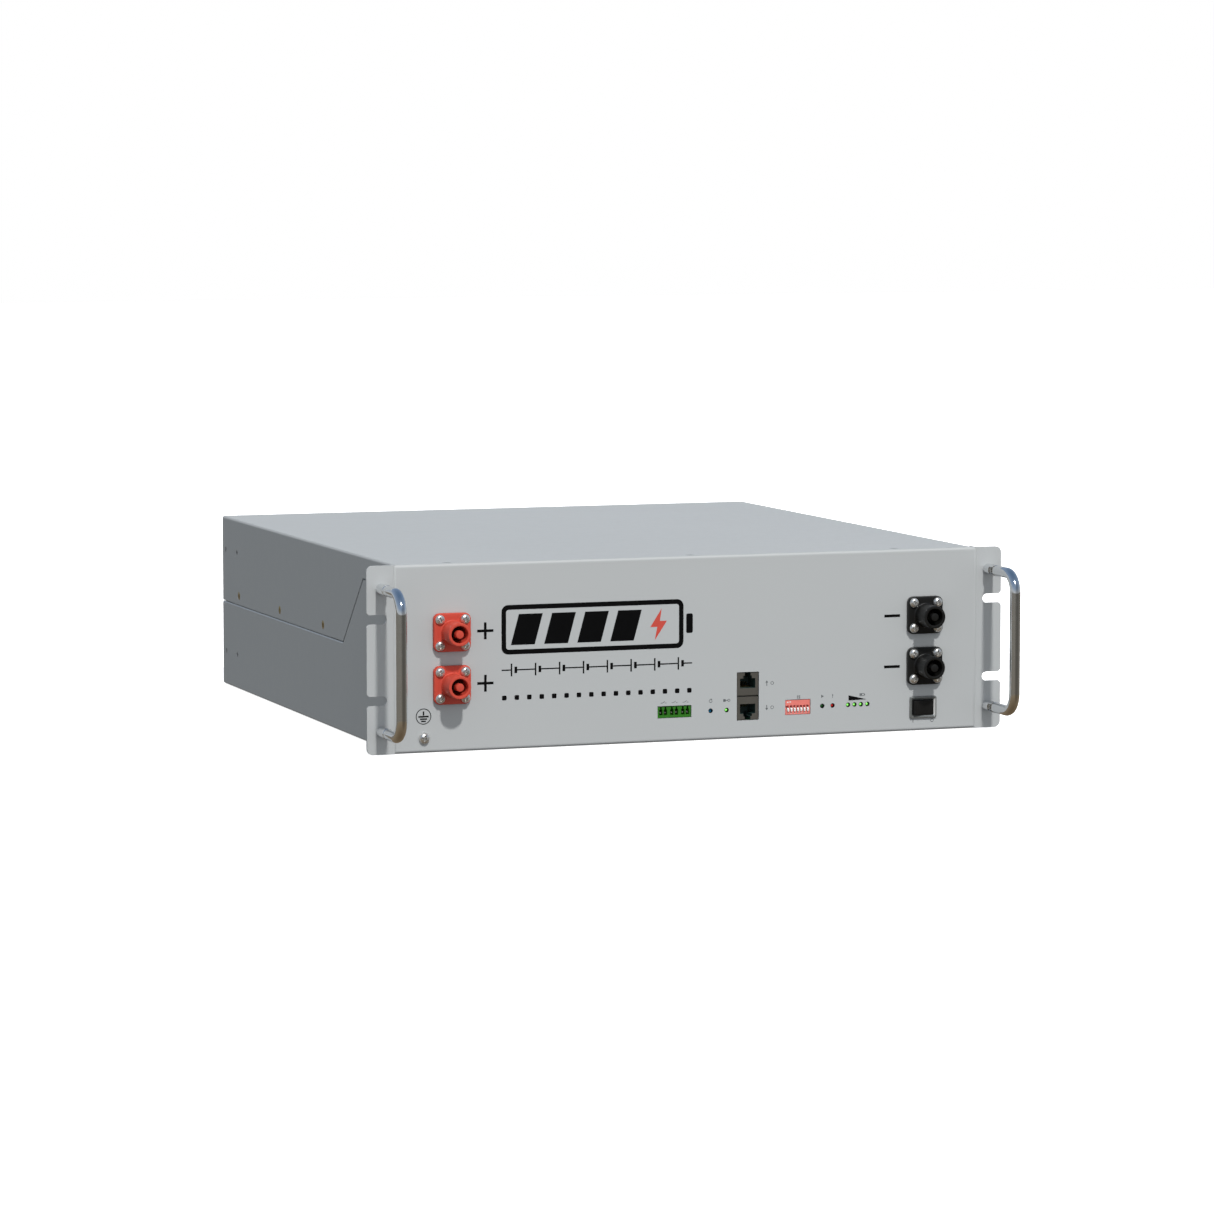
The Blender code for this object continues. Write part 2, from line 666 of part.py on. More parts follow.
def power_switch():
    x, z = SWITCH_CENTRE
    mesh = bmesh.new()
    prism(mesh, rounded_rectangle(x, z, *BEZEL, BEZEL_CORNER, 3), "Y", BEZEL_FRONT_Y, -GAP)
    body = add_part("power_switch_body", mesh, black_plastic())
    rear = bmesh.new()
    prism(rear, rectangle(x, z, BEZEL[0] - 2.2, BEZEL[1] - 2.2), "Y", -1.0, 15.0)
    weld(body, rear, "rear_body")
    well = bmesh.new()
    prism(well, rectangle(x, z, *WELL), "Y", BEZEL_FRONT_Y - 2.0, 6.0)
    cut(body, well, "well")


def power_rocker():
    """Rocker with a shallow V front and round ends about its pivot. At rest its right half is pressed in."""
    x, z = SWITCH_CENTRE
    end_reach, middle_reach, rear_reach = 3.3, 2.1, 3.0
    front_angle = math.degrees(math.asin(end_reach / ROCKER_REACH))
    rear_angle = math.degrees(math.asin(rear_reach / ROCKER_REACH))
    outline = arc(0.0, 0.0, ROCKER_REACH, rear_angle, -front_angle, 6) + [(0.0, -middle_reach)]
    outline += arc(0.0, 0.0, ROCKER_REACH, 180.0 + front_angle, 180.0 - rear_angle, 6)
    mesh = bmesh.new()
    placed = [(x + u, ROCKER_PIVOT_Y + v) for u, v in outline]
    prism(mesh, placed, "Z", z - ROCKER_HALF_HEIGHT, z + ROCKER_HALF_HEIGHT)
    rocker = add_part("power_rocker", mesh, black_plastic(), origin=(x, ROCKER_PIVOT_Y, z))
    rocker.rotation_euler.z = ROCKER_TILT


def jack_mouth(x, z, sense):
    """Outline of an eight-way modular socket, with its latch notch on the side given by sense."""
    wide, step, notch = 5.85, 3.25, 2.2
    steps = [(wide, 0.0), (wide, 7.0), (step, 7.0), (step, 9.0), (notch, 9.0), (notch, 11.4)]
    right = [(x + u, z + sense * v) for u, v in steps]
    left = [(x - u, z + sense * v) for u, v in reversed(steps)]
    return right + left


def network_jack():
    x, z = JACK_CENTRE
    width, height = JACK_OPENING[0] - 0.9, JACK_OPENING[1] - 0.9
    mesh = bmesh.new()
    prism(mesh, rectangle(x, z, width, height), "Y", 0.5, 21.0)
    jack = add_part("network_jack_block", mesh, material("jack_shell", (84, 82, 76), 0.45))
    mouths = bmesh.new()
    for sense in (-1, 1):
        prism(mouths, jack_mouth(x, z + sense * 5.7, sense), "Y", -1.0, 15.0)
    box(mouths, (x - width, x + width), (-1.0, 1.1), (z - 0.25, z + 0.25))
    cut(jack, mouths, "mouths")


def keyhole(x, z):
    """Outline of one way of the contact header: a socket with a narrower key slot above it."""
    socket, key, bottom, shoulder, top = 1.25, 0.6, z - 2.4, z + 1.8, z + 3.6
    return [(x - socket, bottom), (x + socket, bottom), (x + socket, shoulder), (x + key, shoulder),
            (x + key, top), (x - key, top), (x - key, shoulder), (x - socket, shoulder)]


def contact_header():
    x, z = HEADER_CENTRE
    mesh = bmesh.new()
    prism(mesh, rectangle(x, z, HEADER_OPENING[0] - 0.6, HEADER_OPENING[1] - 0.6), "Y", 0.7, 13.0)
    header = add_part("dry_contact_header", mesh, material("green_plastic", (58, 130, 34), 0.45))
    base = bmesh.new()
    box(base, (x - 12.0, x + 12.0), (5.0, 12.0), (BOARD_TOP_Z + GAP, z))
    weld(header, base, "base")
    ways = bmesh.new()
    for pair in (-1, 0, 1):
        for way in (-0.5, 0.5):
            prism(ways, keyhole(x + pair * HEADER_PAIR_PITCH + way * HEADER_WAY_PITCH, z), "Y", -1.0, 9.0)
    cut(header, ways, "ways")


def address_slider_places():
    x, z = DIP_CENTRE
    return [x + (i - 3) * DIP_PITCH for i in range(7)], z - 1.0


def address_switch():
    x, z = DIP_CENTRE
    mesh = bmesh.new()
    prism(mesh, rectangle(x, z, DIP_OPENING[0] - 0.6, DIP_OPENING[1] - 0.6), "Y", 0.4, 9.0)
    body = add_part("address_switch_body", mesh, material("dip_plastic", (226, 104, 92), 0.4))
    base = bmesh.new()
    box(base, (x - 9.0, x + 9.0), (4.0, 8.0), (BOARD_TOP_Z + GAP, z))
    weld(body, base, "base")
    slots = bmesh.new()
    columns, slot_z = address_slider_places()
    for column in columns:
        prism(slots, rectangle(column, slot_z, 1.7, 4.0), "Y", -1.0, 3.0)
    cut(body, slots, "slots")
    for number, column in enumerate(columns, 1):
        slider = bmesh.new()
        box(slider, (column - 0.55, column + 0.55), (-0.9, 2.6), (slot_z - 1.7, slot_z + 0.1))
        add_part(f"address_slider_{number}", slider, material("white_plastic", (226, 230, 226), 0.4),
                 origin=(column, 0.0, slot_z - 0.8))


def reset_button():
    mesh = bmesh.new()
    profile = [(0.0, 0.9), (1.05, 0.9), (1.3, 1.2), (1.3, 7.0), (0.0, 7.0)]
    lathe(mesh, profile, (RESET_X, ROW_Z), 12)
    add_part("reset_button", mesh, material("blue_plastic", (28, 110, 150), 0.4),
             origin=(RESET_X, 0.9, ROW_Z))


def add_indicator(mesh, x):
    """One round lens behind its panel hole, with the holder that stands it on the board."""
    radius, tip = 1.4, 0.2
    dome = [(radius * math.sin(math.radians(t)), tip + radius * (1 - math.cos(math.radians(t))))
            for t in (0.0, 30.0, 60.0)]
    lathe(mesh, dome + [(radius, tip + radius), (radius, 6.2), (0.0, 6.2)], (x, ROW_Z), 10)


def indicator(name, columns, look):
    mesh = bmesh.new()
    box(mesh, (columns[0] - 1.9, columns[-1] + 1.9), (5.0, 9.0), (BOARD_TOP_Z + GAP, ROW_Z + 2.0))
    part = add_part(name, mesh, look)
    lenses = bmesh.new()
    for x in columns:
        add_indicator(lenses, x)
    weld(part, lenses, "lenses")


def ground_screw():
    """Pan-head earthing screw with a crossed recess."""
    x, z = GROUND_SCREW
    mesh = bmesh.new()
    profile = [(0.0, -3.0), (1.6, -2.9), (2.9, -2.4), (3.6, -1.5), (3.8, -GAP)]
    profile += [(2.4, -GAP), (2.4, 9.0), (0.0, 9.0)]
    lathe(mesh, profile, (x, z), 14)
    screw = add_part("ground_screw", mesh, zinc())
    recess = bmesh.new()
    arm, half = 2.2, 0.5
    outline = [(-half, -arm), (half, -arm), (half, -half), (arm, -half), (arm, half), (half, half),
               (half, arm), (-half, arm), (-half, half), (-arm, half), (-arm, -half), (-half, -half)]
    prism(recess, [(x + u, z + v) for u, v in outline], "Y", -4.0, -1.6)
    cut(screw, recess, "recess")


# Boards and cells


def interface_board():
    mesh = bmesh.new()
    box(mesh, (-36.0, 148.0), (3.0, 62.0), (BOARD_TOP_Z - BOARD_THICKNESS, BOARD_TOP_Z))
    board = add_part("interface_board", mesh, board_laminate())
    extra = bmesh.new()
    low = BOARD_TOP_Z - 0.8
    box(extra, (RESET_X - 3.2, RESET_X + 3.2), (5.2, 11.0), (low, ROW_Z + 3.2))
    box(extra, (66.0, 82.0), (30.0, 46.0), (low, BOARD_TOP_Z + 2.2))
    box(extra, (-20.0, 6.0), (34.0, 52.0), (low, BOARD_TOP_Z + 12.0))
    box(extra, (104.0, 138.0), (40.0, 48.0), (low, BOARD_TOP_Z + 9.0))
    weld(board, extra, "components")
    guide = bmesh.new()
    prism(guide, circle(RESET_X, ROW_Z, 1.7, 10), "Y", 4.0, 8.6)
    cut(board, guide, "button_guide")


def bms_board():
    """Battery management board, upright behind the receptacles, with its power transistors and shunts."""
    mesh = bmesh.new()
    box(mesh, (-155.0, 155.0), (88.0, 90.0), (14.0, 120.0))
    board = add_part("bms_board", mesh, board_laminate())
    extra = bmesh.new()
    for i in range(12):
        x = -132.0 + i * 24.0
        box(extra, (x - 5.0, x + 5.0), (83.5, 89.0), (92.0, 108.0))
    for x in (-120.0, -60.0, 0.0, 60.0, 120.0):
        box(extra, (x - 14.0, x + 14.0), (80.0, 89.0), (54.0, 66.0))
    box(extra, (-148.0, 148.0), (74.0, 89.0), (20.0, 40.0))
    weld(board, extra, "components")


def cell_places():
    return [((i - 3.5) * CELL_PITCH_X, y) for y in CELL_ROWS_Y for i in range(8)]


def battery_cell(name, x, y):
    """Prismatic cell: a wrapped aluminium can with bevelled upright edges and two terminals on its lid."""
    width, length, height = CELL
    top = CELL_FLOOR_Z + height
    mesh = bmesh.new()
    prism(mesh, rounded_rectangle(x, y, width, length, 2.5, 1), "Z", CELL_FLOOR_Z, top)
    cell = add_part(name, mesh, material("cell_wrap", (38, 92, 150), 0.4))
    terminals = bmesh.new()
    for sense in (-1, 1):
        outline = circle(x, y + sense * CELL_TERMINAL_Y, TERMINAL_RADIUS, 8)
        prism(terminals, outline, "Z", top - 1.0, top + TERMINAL_HEIGHT)
    weld(cell, terminals, "terminals")


def cell_contact_board():
    """Insulating plate above the cells that carries the links from each cell to the next."""
    bottom = CELL_FLOOR_Z + CELL[2] + TERMINAL_HEIGHT + GAP
    half_x = 4 * CELL_PITCH_X
    front, back = CELL_ROWS_Y[0] - CELL[1] / 2, CELL_ROWS_Y[1] + CELL[1] / 2
    mesh = bmesh.new()
    box(mesh, (-half_x, half_x), (front, back), (bottom, bottom + 2.0))
    board = add_part("cell_contact_board", mesh, material("contact_board", (214, 208, 190), 0.5))
    links = bmesh.new()
    for row in CELL_ROWS_Y:
        for i in range(7):
            x = (i - 3) * CELL_PITCH_X
            y = row + (CELL_TERMINAL_Y if i % 2 else -CELL_TERMINAL_Y)
            box(links, (x - 34.0, x + 34.0), (y - 9.0, y + 9.0), (bottom + 1.0, bottom + 4.0))
    weld(board, links, "links")
    windows = bmesh.new()
    for x, y in cell_places():
        prism(windows, rectangle(x, y, 18.0, 18.0), "Z", bottom - 1.0, bottom + 3.0)
    cut(board, windows, "vent_windows")


def build():
    clear_scene()
    chassis_tray()
    top_cover()
    front_panel()
    for word, side in (("left", -1), ("right", 1)):
        rack_ear(f"{word}_ear", side)
        folding_handle(f"{word}_handle", side)
        for level, z in zip(("lower", "upper"), HANDLE_LEGS_Z):
            handle_post(f"{word}_{level}_handle_post", side, z)
            hinge_pin(f"{word}_{level}_hinge_pin", side, z)
    for pole, x, look in (("positive", POSITIVE_X, red_plastic()), ("negative", NEGATIVE_X, black_plastic())):
        power_receptacle(f"{pole}_upper_receptacle", x, UPPER_Z, look)
        power_receptacle(f"{pole}_lower_receptacle", x, LOWER_Z, look)
        terminal_bar(f"{pole}_terminal_bar", x)
    power_switch()
    power_rocker()
    network_jack()
    contact_header()
    address_switch()
    reset_button()
    lit_green = material("green_lens", (96, 200, 74), 0.25)
    indicator("mode_indicator", [MODE_LED_X], lit_green)
    indicator("run_indicator", [RUN_LED_X], material("dark_green_lens", (22, 72, 30), 0.25))
    indicator("alarm_indicator", [ALARM_LED_X], material("red_lens", (150, 26, 24), 0.25))
    indicator("charge_level_indicator", CHARGE_LEDS_X, lit_green)
    ground_screw()
    interface_board()
    bms_board()
    for number, (x, y) in enumerate(cell_places(), 1):
        battery_cell(f"cell_{number:02d}", x, y)
    cell_contact_board()
    first = (-3.5 * CELL_PITCH_X, CELL_ROWS_Y[0] - CELL_TERMINAL_Y)
    middle_z = (UPPER_Z + LOWER_Z) / 2
    power_cable("positive_cable", [(POSITIVE_X, 17.9, middle_z), (POSITIVE_X, 62.0, middle_z),
                                   (-176.0, 70.0, 110.0), (first[0], 105.0, 112.0)],
                material("red_cable", (170, 40, 32), 0.5))
    power_cable("negative_cable", [(NEGATIVE_X, 17.9, middle_z), (NEGATIVE_X, 50.0, middle_z),
                                   (120.0, 54.0, 60.0), (120.0, 79.4, 60.0)],
                material("black_cable", (26, 26, 26), 0.5))


build()
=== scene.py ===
"""Looks of the server rack battery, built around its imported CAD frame.

Shapes are written in panel millimetres: X across the rack, Y into the rack from the front face of the panel, and
Z up from the underside. place() turns them into the frame's metres. Where a feature sits comes from the CAD nodes.
"""

import math

import bmesh
import bpy
from mathutils import Matrix, Vector


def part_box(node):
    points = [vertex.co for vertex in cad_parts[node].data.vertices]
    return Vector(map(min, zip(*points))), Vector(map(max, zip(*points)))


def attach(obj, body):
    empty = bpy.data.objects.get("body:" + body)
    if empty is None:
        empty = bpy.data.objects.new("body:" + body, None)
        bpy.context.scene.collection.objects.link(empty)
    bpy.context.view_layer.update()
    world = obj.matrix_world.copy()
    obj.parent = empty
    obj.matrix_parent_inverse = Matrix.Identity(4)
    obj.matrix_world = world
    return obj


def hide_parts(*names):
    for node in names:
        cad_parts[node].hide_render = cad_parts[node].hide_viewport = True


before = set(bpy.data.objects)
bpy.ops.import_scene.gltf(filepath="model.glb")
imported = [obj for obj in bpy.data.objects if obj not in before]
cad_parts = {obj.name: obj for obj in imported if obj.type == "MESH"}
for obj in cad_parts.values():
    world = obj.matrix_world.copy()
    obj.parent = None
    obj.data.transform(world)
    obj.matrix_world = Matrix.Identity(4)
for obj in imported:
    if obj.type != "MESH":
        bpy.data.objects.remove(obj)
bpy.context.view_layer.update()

MM = 0.001
FRONT = Vector((0.0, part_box("front_panel")[0].y, 0.0))
GAP = 0.3
SHEET = 1.5
EAR_SHEET = 2.0
BEND = 1.1
EAR_BEND = 1.2
TIGHT = 0.05
PRINT = 0.05


def span(node):
    """Lowest and highest corner of a CAD node, in panel millimetres."""
    low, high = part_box(node)
    return (low - FRONT) / MM, (high - FRONT) / MM


def centre(node):
    low, high = span(node)
    return (low + high) / 2


LOW, HIGH = span("chassis_tray")
HALF_BODY = HIGH.x
DEPTH = HIGH.y
HEIGHT = span("top_cover")[1].z
HALF_RACK = span("right_ear")[1].x
PANEL_LIP = LOW.y - GAP
HANDLE_X = centre("right_handle").x
PIN_Y = centre("right_lower_hinge_pin").y
LEGS_Z = (centre("right_lower_hinge_pin").z, centre("right_upper_hinge_pin").z)
POST_FRONT = span("right_lower_handle_post")[0].y
ROW_Z = centre("reset_button").z
SWITCH = centre("power_switch_body")
JACK = centre("network_jack_block")
HEADER = centre("dry_contact_header")
DIP = centre("address_switch_body")
GROUND = centre("ground_screw")
SLIDERS = [f"address_slider_{i}" for i in range(1, 8)]
RECEPTACLES = [f"{pole}_{level}_receptacle" for pole in ("positive", "negative") for level in ("upper", "lower")]
LEVELS = ("lower", "upper")
SIDES = (("left", -1), ("right", 1))

# Places read off the object that no CAD node carries
SEAM_FRONT_Z = 116.0
SEAM_REAR_Z = 66.0
SEAM_SLOPE_Y = (79.0, 129.5)
SEAM_GAP = 0.8
TOP_SCREWS = [(x, 9.0) for x in (-180.0, 2.0, 160.0)]
SIDE_SCREWS = [(y, 73.2) for y in (182.0, 298.5, 415.0)]
EAR_SCREWS = [(24.0, z) for z in (20.0, 66.25, 112.5)]
REAR_HOLES = [(y, z) for y in (420.0, 453.0) for z in (26.6, 106.6)]
CHARGE_X = (121.1, 126.15, 131.2, 136.2)
FLANGE_SCREW_REACH = 9.2
FLANGE_FRONT_Y = -3.4
SLOT_PITCH = 57.15


# Materials
LOOKS = {}


def linear(channel):
    value = channel / 255
    return value / 12.92 if value <= 0.04045 else ((value + 0.055) / 1.055) ** 2.4


def colour(rgb, factor=1.0):
    return (*[min(1.0, linear(c) * factor) for c in rgb], 1.0)


def node(tree, kind, **values):
    made = tree.nodes.new(kind)
    for name, value in values.items():
        if name in made.inputs:
            made.inputs[name].default_value = value
        else:
            setattr(made, name, value)
    return made


def noise(tree, vector, scale, detail=2.0, roughness=0.5):
    made = node(tree, "ShaderNodeTexNoise")
    made.inputs["Scale"].default_value = scale
    made.inputs["Detail"].default_value = detail
    made.inputs["Roughness"].default_value = roughness
    tree.links.new(vector, made.inputs["Vector"])
    return made.outputs["Fac"]


def spread(tree, value, low, high):
    """Maps a noise value, which stays near 0.3 to 0.7, onto a range."""
    made = node(tree, "ShaderNodeMapRange")
    made.inputs["From Min"].default_value = 0.3
    made.inputs["From Max"].default_value = 0.7
    made.inputs["To Min"].default_value = low
    made.inputs["To Max"].default_value = high
    tree.links.new(value, made.inputs["Value"])
    return made.outputs["Result"]


def look(name, rgb, roughness, metallic=0.0, patches=(7.0, 0.03), grain=(900.0, 0.04), spread_by=0.05,
         stretch=(1.0, 1.0, 1.0), specular=0.5, glow=0.0):
    """A material whose colour drifts in wide patches, whose roughness varies and whose surface has a fine grain."""
    if name in LOOKS:
        return LOOKS[name]
    made = LOOKS[name] = bpy.data.materials.new(f"{name}_look")
    made.use_nodes = True
    made.diffuse_color = colour(rgb)
    tree = made.node_tree
    shader = tree.nodes["Principled BSDF"]
    shader.inputs["Metallic"].default_value = metallic
    shader.inputs["Specular IOR Level"].default_value = specular
    where = node(tree, "ShaderNodeTexCoord").outputs["Object"]
    scaled = node(tree, "ShaderNodeMapping")
    scaled.inputs["Scale"].default_value = stretch
    tree.links.new(where, scaled.inputs["Vector"])
    where = scaled.outputs["Vector"]

    tint = node(tree, "ShaderNodeMix", data_type="RGBA")
    tint.inputs[6].default_value = colour(rgb, 1.0 - patches[1])
    tint.inputs[7].default_value = colour(rgb, 1.0 + patches[1])
    tree.links.new(spread(tree, noise(tree, where, patches[0], 4.0), 0.0, 1.0), tint.inputs[0])
    tree.links.new(tint.outputs[2], shader.inputs["Base Color"])

    fine = noise(tree, where, grain[0], 3.0, 0.6)
    rough = spread(tree, noise(tree, where, grain[0] / 6.0, 5.0, 0.65), roughness - spread_by, roughness + spread_by)
    tree.links.new(rough, shader.inputs["Roughness"])
    bump = node(tree, "ShaderNodeBump")
    bump.inputs["Strength"].default_value = grain[1]
    bump.inputs["Distance"].default_value = 0.0004
    tree.links.new(fine, bump.inputs["Height"])
    tree.links.new(bump.outputs["Normal"], shader.inputs["Normal"])
    if glow:
        shader.inputs["Emission Color"].default_value = colour(rgb)
        shader.inputs["Emission Strength"].default_value = glow
    return made


def case_paint():
    """Light grey powder coat with a slight orange peel."""
    return look("case_paint", (186, 189, 190), 0.5, patches=(5.0, 0.01), grain=(600.0, 0.03), spread_by=0.03,
                specular=0.35)


def chrome():
    return look("chrome", (226, 228, 230), 0.11, 1.0, grain=(1400.0, 0.006), spread_by=0.03)


def bright_zinc():
    return look("bright_zinc", (226, 225, 222), 0.36, 0.9, patches=(300.0, 0.06), grain=(2200.0, 0.06))


def dull_zinc():
    return look("dull_zinc", (160, 163, 164), 0.5, 0.5, patches=(260.0, 0.08), grain=(2200.0, 0.05))


def yellow_zinc():
    return look("yellow_zinc", (176, 158, 112), 0.32, 1.0, patches=(260.0, 0.12), grain=(2200.0, 0.05))


def satin_nickel():
    return look("satin_nickel", (132, 135, 134), 0.24, 0.45, patches=(90.0, 0.04), grain=(1800.0, 0.03))


def red_plastic():
    return look("red_plastic", (204, 76, 60), 0.45, patches=(60.0, 0.04), grain=(2600.0, 0.05), specular=0.28)


def black_plastic():
    return look("black_plastic", (22, 22, 21), 0.4, patches=(60.0, 0.1), grain=(2600.0, 0.06), specular=0.36)


def print_black():
    return look("print_black", (5, 5, 6), 0.6, patches=(200.0, 0.25), grain=(3000.0, 0.03), specular=0.12)


def print_grey():
    return look("print_grey", (96, 100, 102), 0.6, patches=(400.0, 0.08), grain=(3000.0, 0.03))


def print_white():
    return look("print_white", (228, 232, 230), 0.6, patches=(400.0, 0.04), grain=(3000.0, 0.03))


def print_coral():
    return look("print_coral", (206, 74, 60), 0.55, patches=(200.0, 0.05), grain=(3000.0, 0.03))


def lens(name, rim, heart, glow):
    """A domed lens that glows, with a painted highlight where it faces the eye and painted shade towards its rim."""
    if name in LOOKS:
        return LOOKS[name]
    made = look(name, heart, 0.16, patches=(500.0, 0.05), grain=(1500.0, 0.01), spread_by=0.04)
    tree = made.node_tree
    shader = tree.nodes["Principled BSDF"]
    # The facing ramp paints the highlight in the middle of the dome and the shade towards its rim.
    facing = node(tree, "ShaderNodeLayerWeight", Blend=0.5)
    ramp = node(tree, "ShaderNodeValToRGB")
    ramp.color_ramp.elements[0].position = 0.03
    ramp.color_ramp.elements[0].color = colour(heart)
    ramp.color_ramp.elements[1].position = 0.42
    ramp.color_ramp.elements[1].color = colour(rim)
    tree.links.new(facing.outputs["Facing"], ramp.inputs["Fac"])
    for socket in ("Base Color", "Emission Color"):
        tree.links.new(ramp.outputs["Color"], shader.inputs[socket])
    shader.inputs["Emission Strength"].default_value = glow
    return made


# Outlines and meshes


def arc(centre_u, centre_v, radius, start, end, steps):
    turns = [math.radians(start + (end - start) * i / steps) for i in range(steps + 1)]
    return [(centre_u + radius * math.cos(t), centre_v + radius * math.sin(t)) for t in turns]


def circle(centre_u, centre_v, radius, steps):
    return arc(centre_u, centre_v, radius, 0.0, 360.0, steps)[:-1]


def rectangle(centre_u, centre_v, width, height):
    u, v = width / 2, height / 2
    return [(centre_u + a * u, centre_v + b * v) for a, b in ((-1, -1), (1, -1), (1, 1), (-1, 1))]


def rounded_rectangle(centre_u, centre_v, width, height, radius, steps=8):
    u, v = width / 2 - radius, height / 2 - radius
    outline = []
    for du, dv, start in ((u, v, 0.0), (-u, v, 90.0), (-u, -v, 180.0), (u, -v, 270.0)):
        outline += arc(centre_u + du, centre_v + dv, radius, start, start + 90.0, steps)
    return outline


def bent_sheet(path, thickness, bend, steps=8):
    """Closed outline of a sheet that follows a path of straight runs, with a round bend at each corner."""
    points = [Vector(p) for p in path]
    run = [(points[0], (points[1] - points[0]).normalized())]
    for before, corner, after in zip(points, points[1:], points[2:]):
        into = (corner - before).normalized()
        turn = into.angle_signed((after - corner).normalized())
        start = corner - into * bend * math.tan(abs(turn) / 2)
        middle = start + Vector((into.y, -into.x)) * math.copysign(bend, turn)
        for i in range(steps + 1):
            swing = Matrix.Rotation(-turn * i / steps, 2)
            run.append((middle + swing @ (start - middle), swing @ into))
    run.append((points[-1], (points[-1] - points[-2]).normalized()))
    sides = [Vector((-along.y, along.x)) * thickness / 2 for _, along in run]
    left = [tuple(point + side) for (point, _), side in zip(run, sides)]
    right = [tuple(point - side) for (point, _), side in zip(run, sides)]
    return left + right[::-1]


def loft(mesh, rings, closed_ends=True):
    """Adds a skin over rings of points that all have the same count, capped at both ends."""
    rows = [[mesh.verts.new(p) for p in ring] for ring in rings]
    for one, two in zip(rows, rows[1:]):
        for i in range(len(one)):
            j = (i + 1) % len(one)
            mesh.faces.new((one[i], two[i], two[j], one[j]))
    if closed_ends:
        mesh.faces.new(rows[0])
        mesh.faces.new(rows[-1][::-1])


AXES = {"X": lambda u, v, w: (w, u, v), "Y": lambda u, v, w: (u, w, v), "Z": lambda u, v, w: (u, v, w)}


def prism(mesh, outline, axis, low, high):
    """Adds the outline extruded along an axis. It is in YZ for axis X, in XZ for Y and in XY for Z."""
    loft(mesh, [[AXES[axis](u, v, w) for u, v in outline] for w in (low, high)])


def box(mesh, x, y, z):
    prism(mesh, [(x[0], y[0]), (x[1], y[0]), (x[1], y[1]), (x[0], y[1])], "Z", z[0], z[1])


def lathe(mesh, profile, spot, steps):
    """Adds a turned body about a line along Y. The profile is (radius, y) and starts and ends on the line."""
    rings = []
    for radius, y in profile:
        if radius == 0.0:
            rings.append([mesh.verts.new((spot[0], y, spot[1]))])
        else:
            rings.append([mesh.verts.new((u, y, v)) for u, v in circle(spot[0], spot[1], radius, steps)])
    for one, two in zip(rings, rings[1:]):
        for i in range(steps):
            j = (i + 1) % steps
            if len(one) == 1:
                mesh.faces.new((one[0], two[i], two[j]))
            elif len(two) == 1:
                mesh.faces.new((one[i], two[0], one[j]))
            else:
                mesh.faces.new((one[i], two[i], two[j], one[j]))


def tube(mesh, path, radii, steps):
    """Adds a round bar along a path of points, with a radius for each point."""
    points = [Vector(p) for p in path]
    along = (points[1] - points[0]).normalized()
    side = along.orthogonal().normalized()
    rings = []
    for i, (point, radius) in enumerate(zip(points, radii)):
        ahead = (points[min(i + 1, len(points) - 1)] - points[max(i - 1, 0)]).normalized()
        side = (along.rotation_difference(ahead) @ side).normalized()
        along = ahead
        other = along.cross(side)
        rings.append([point + side * u + other * v for u, v in circle(0.0, 0.0, radius, steps)])
    loft(mesh, rings)


def cross_outline(arm, half):
    return [(-half, -arm), (half, -arm), (half, -half), (arm, -half), (arm, half), (half, half),
            (half, arm), (-half, arm), (-half, half), (-arm, half), (-arm, -half), (-half, -half)]


# Objects


def place(name, mesh, metres=False):
    """Turns a bmesh in panel millimetres into an object in the frame's metres."""
    bmesh.ops.recalc_face_normals(mesh, faces=mesh.faces)
    if not metres:
        bmesh.ops.scale(mesh, vec=(MM, MM, MM), verts=mesh.verts)
        bmesh.ops.translate(mesh, vec=FRONT, verts=mesh.verts)
    data = bpy.data.meshes.new(name)
    mesh.to_mesh(data)
    mesh.free()
    made = bpy.data.objects.new(name, data)
    bpy.context.scene.collection.objects.link(made)
    return made


def settle(made):
    """Applies every modifier, so that the object keeps a plain mesh."""
    graph = bpy.context.evaluated_depsgraph_get()
    made.data = bpy.data.meshes.new_from_object(made.evaluated_get(graph))
    made.modifiers.clear()


def carve(made, mesh, operation="DIFFERENCE"):
    """Cuts a bmesh out of an object at once, or joins it on."""
    tool = place(f"{made.name}_tool", mesh)
    step = made.modifiers.new("carve", "BOOLEAN")
    step.operation = operation
    step.solver = "EXACT"
    step.object = tool
    settle(made)
    bpy.data.objects.remove(tool, do_unlink=True)


def finish_piece(made, material, body, edge=0.0, angle=32.0, stands_for=(), slot=None):
    """Rounds the sharp edges, shades the rest smooth, gives the material and fixes the piece to its body."""
    made.data.materials.clear()
    made.data.materials.append(material)
    if edge:
        weld = made.modifiers.new("weld", "WELD")
        weld.merge_threshold = 0.00001
        step = made.modifiers.new("edges", "BEVEL")
        step.width = edge * MM
        step.segments = 2
        step.limit_method = "ANGLE"
        step.angle_limit = math.radians(angle)
        step.use_clamp_overlap = True
        settle(made)
        made.data.materials.clear()
        made.data.materials.append(material)
    made.data.shade_smooth()
    made.data.set_sharp_from_angle(angle=math.radians(angle))
    if edge:
        normals = made.modifiers.new("normals", "WEIGHTED_NORMAL")
        normals.keep_sharp = True
    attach(made, body)
    if stands_for:
        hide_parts(*stands_for)
    return made


def piece(name, mesh, material, body="case", **how):
    return finish_piece(place(name, mesh), material, body, **how)


def stand_in(node_name):
    """The name of the piece that is shown instead of a CAD node."""
    return f"{node_name}_surface"


# Case


def seam(offset):
    """The line in YZ where tray and cover meet. The gap is wider along the slope, so that it reads from the front."""
    low, high = SEAM_REAR_Z + offset, SEAM_FRONT_Z + offset
    shift = math.copysign(0.7, offset)
    return [(-500.0, high), (SEAM_SLOPE_Y[0] + shift, high), (SEAM_SLOPE_Y[1] + shift, low), (600.0, low)]


def side_holes(mesh, side, holes, radius, steps=24):
    ends = sorted((side * (HALF_BODY - 4.0), side * (HALF_BODY + 4.0)))
    for y, z in holes:
        prism(mesh, circle(y, z, radius, steps), "X", *ends)


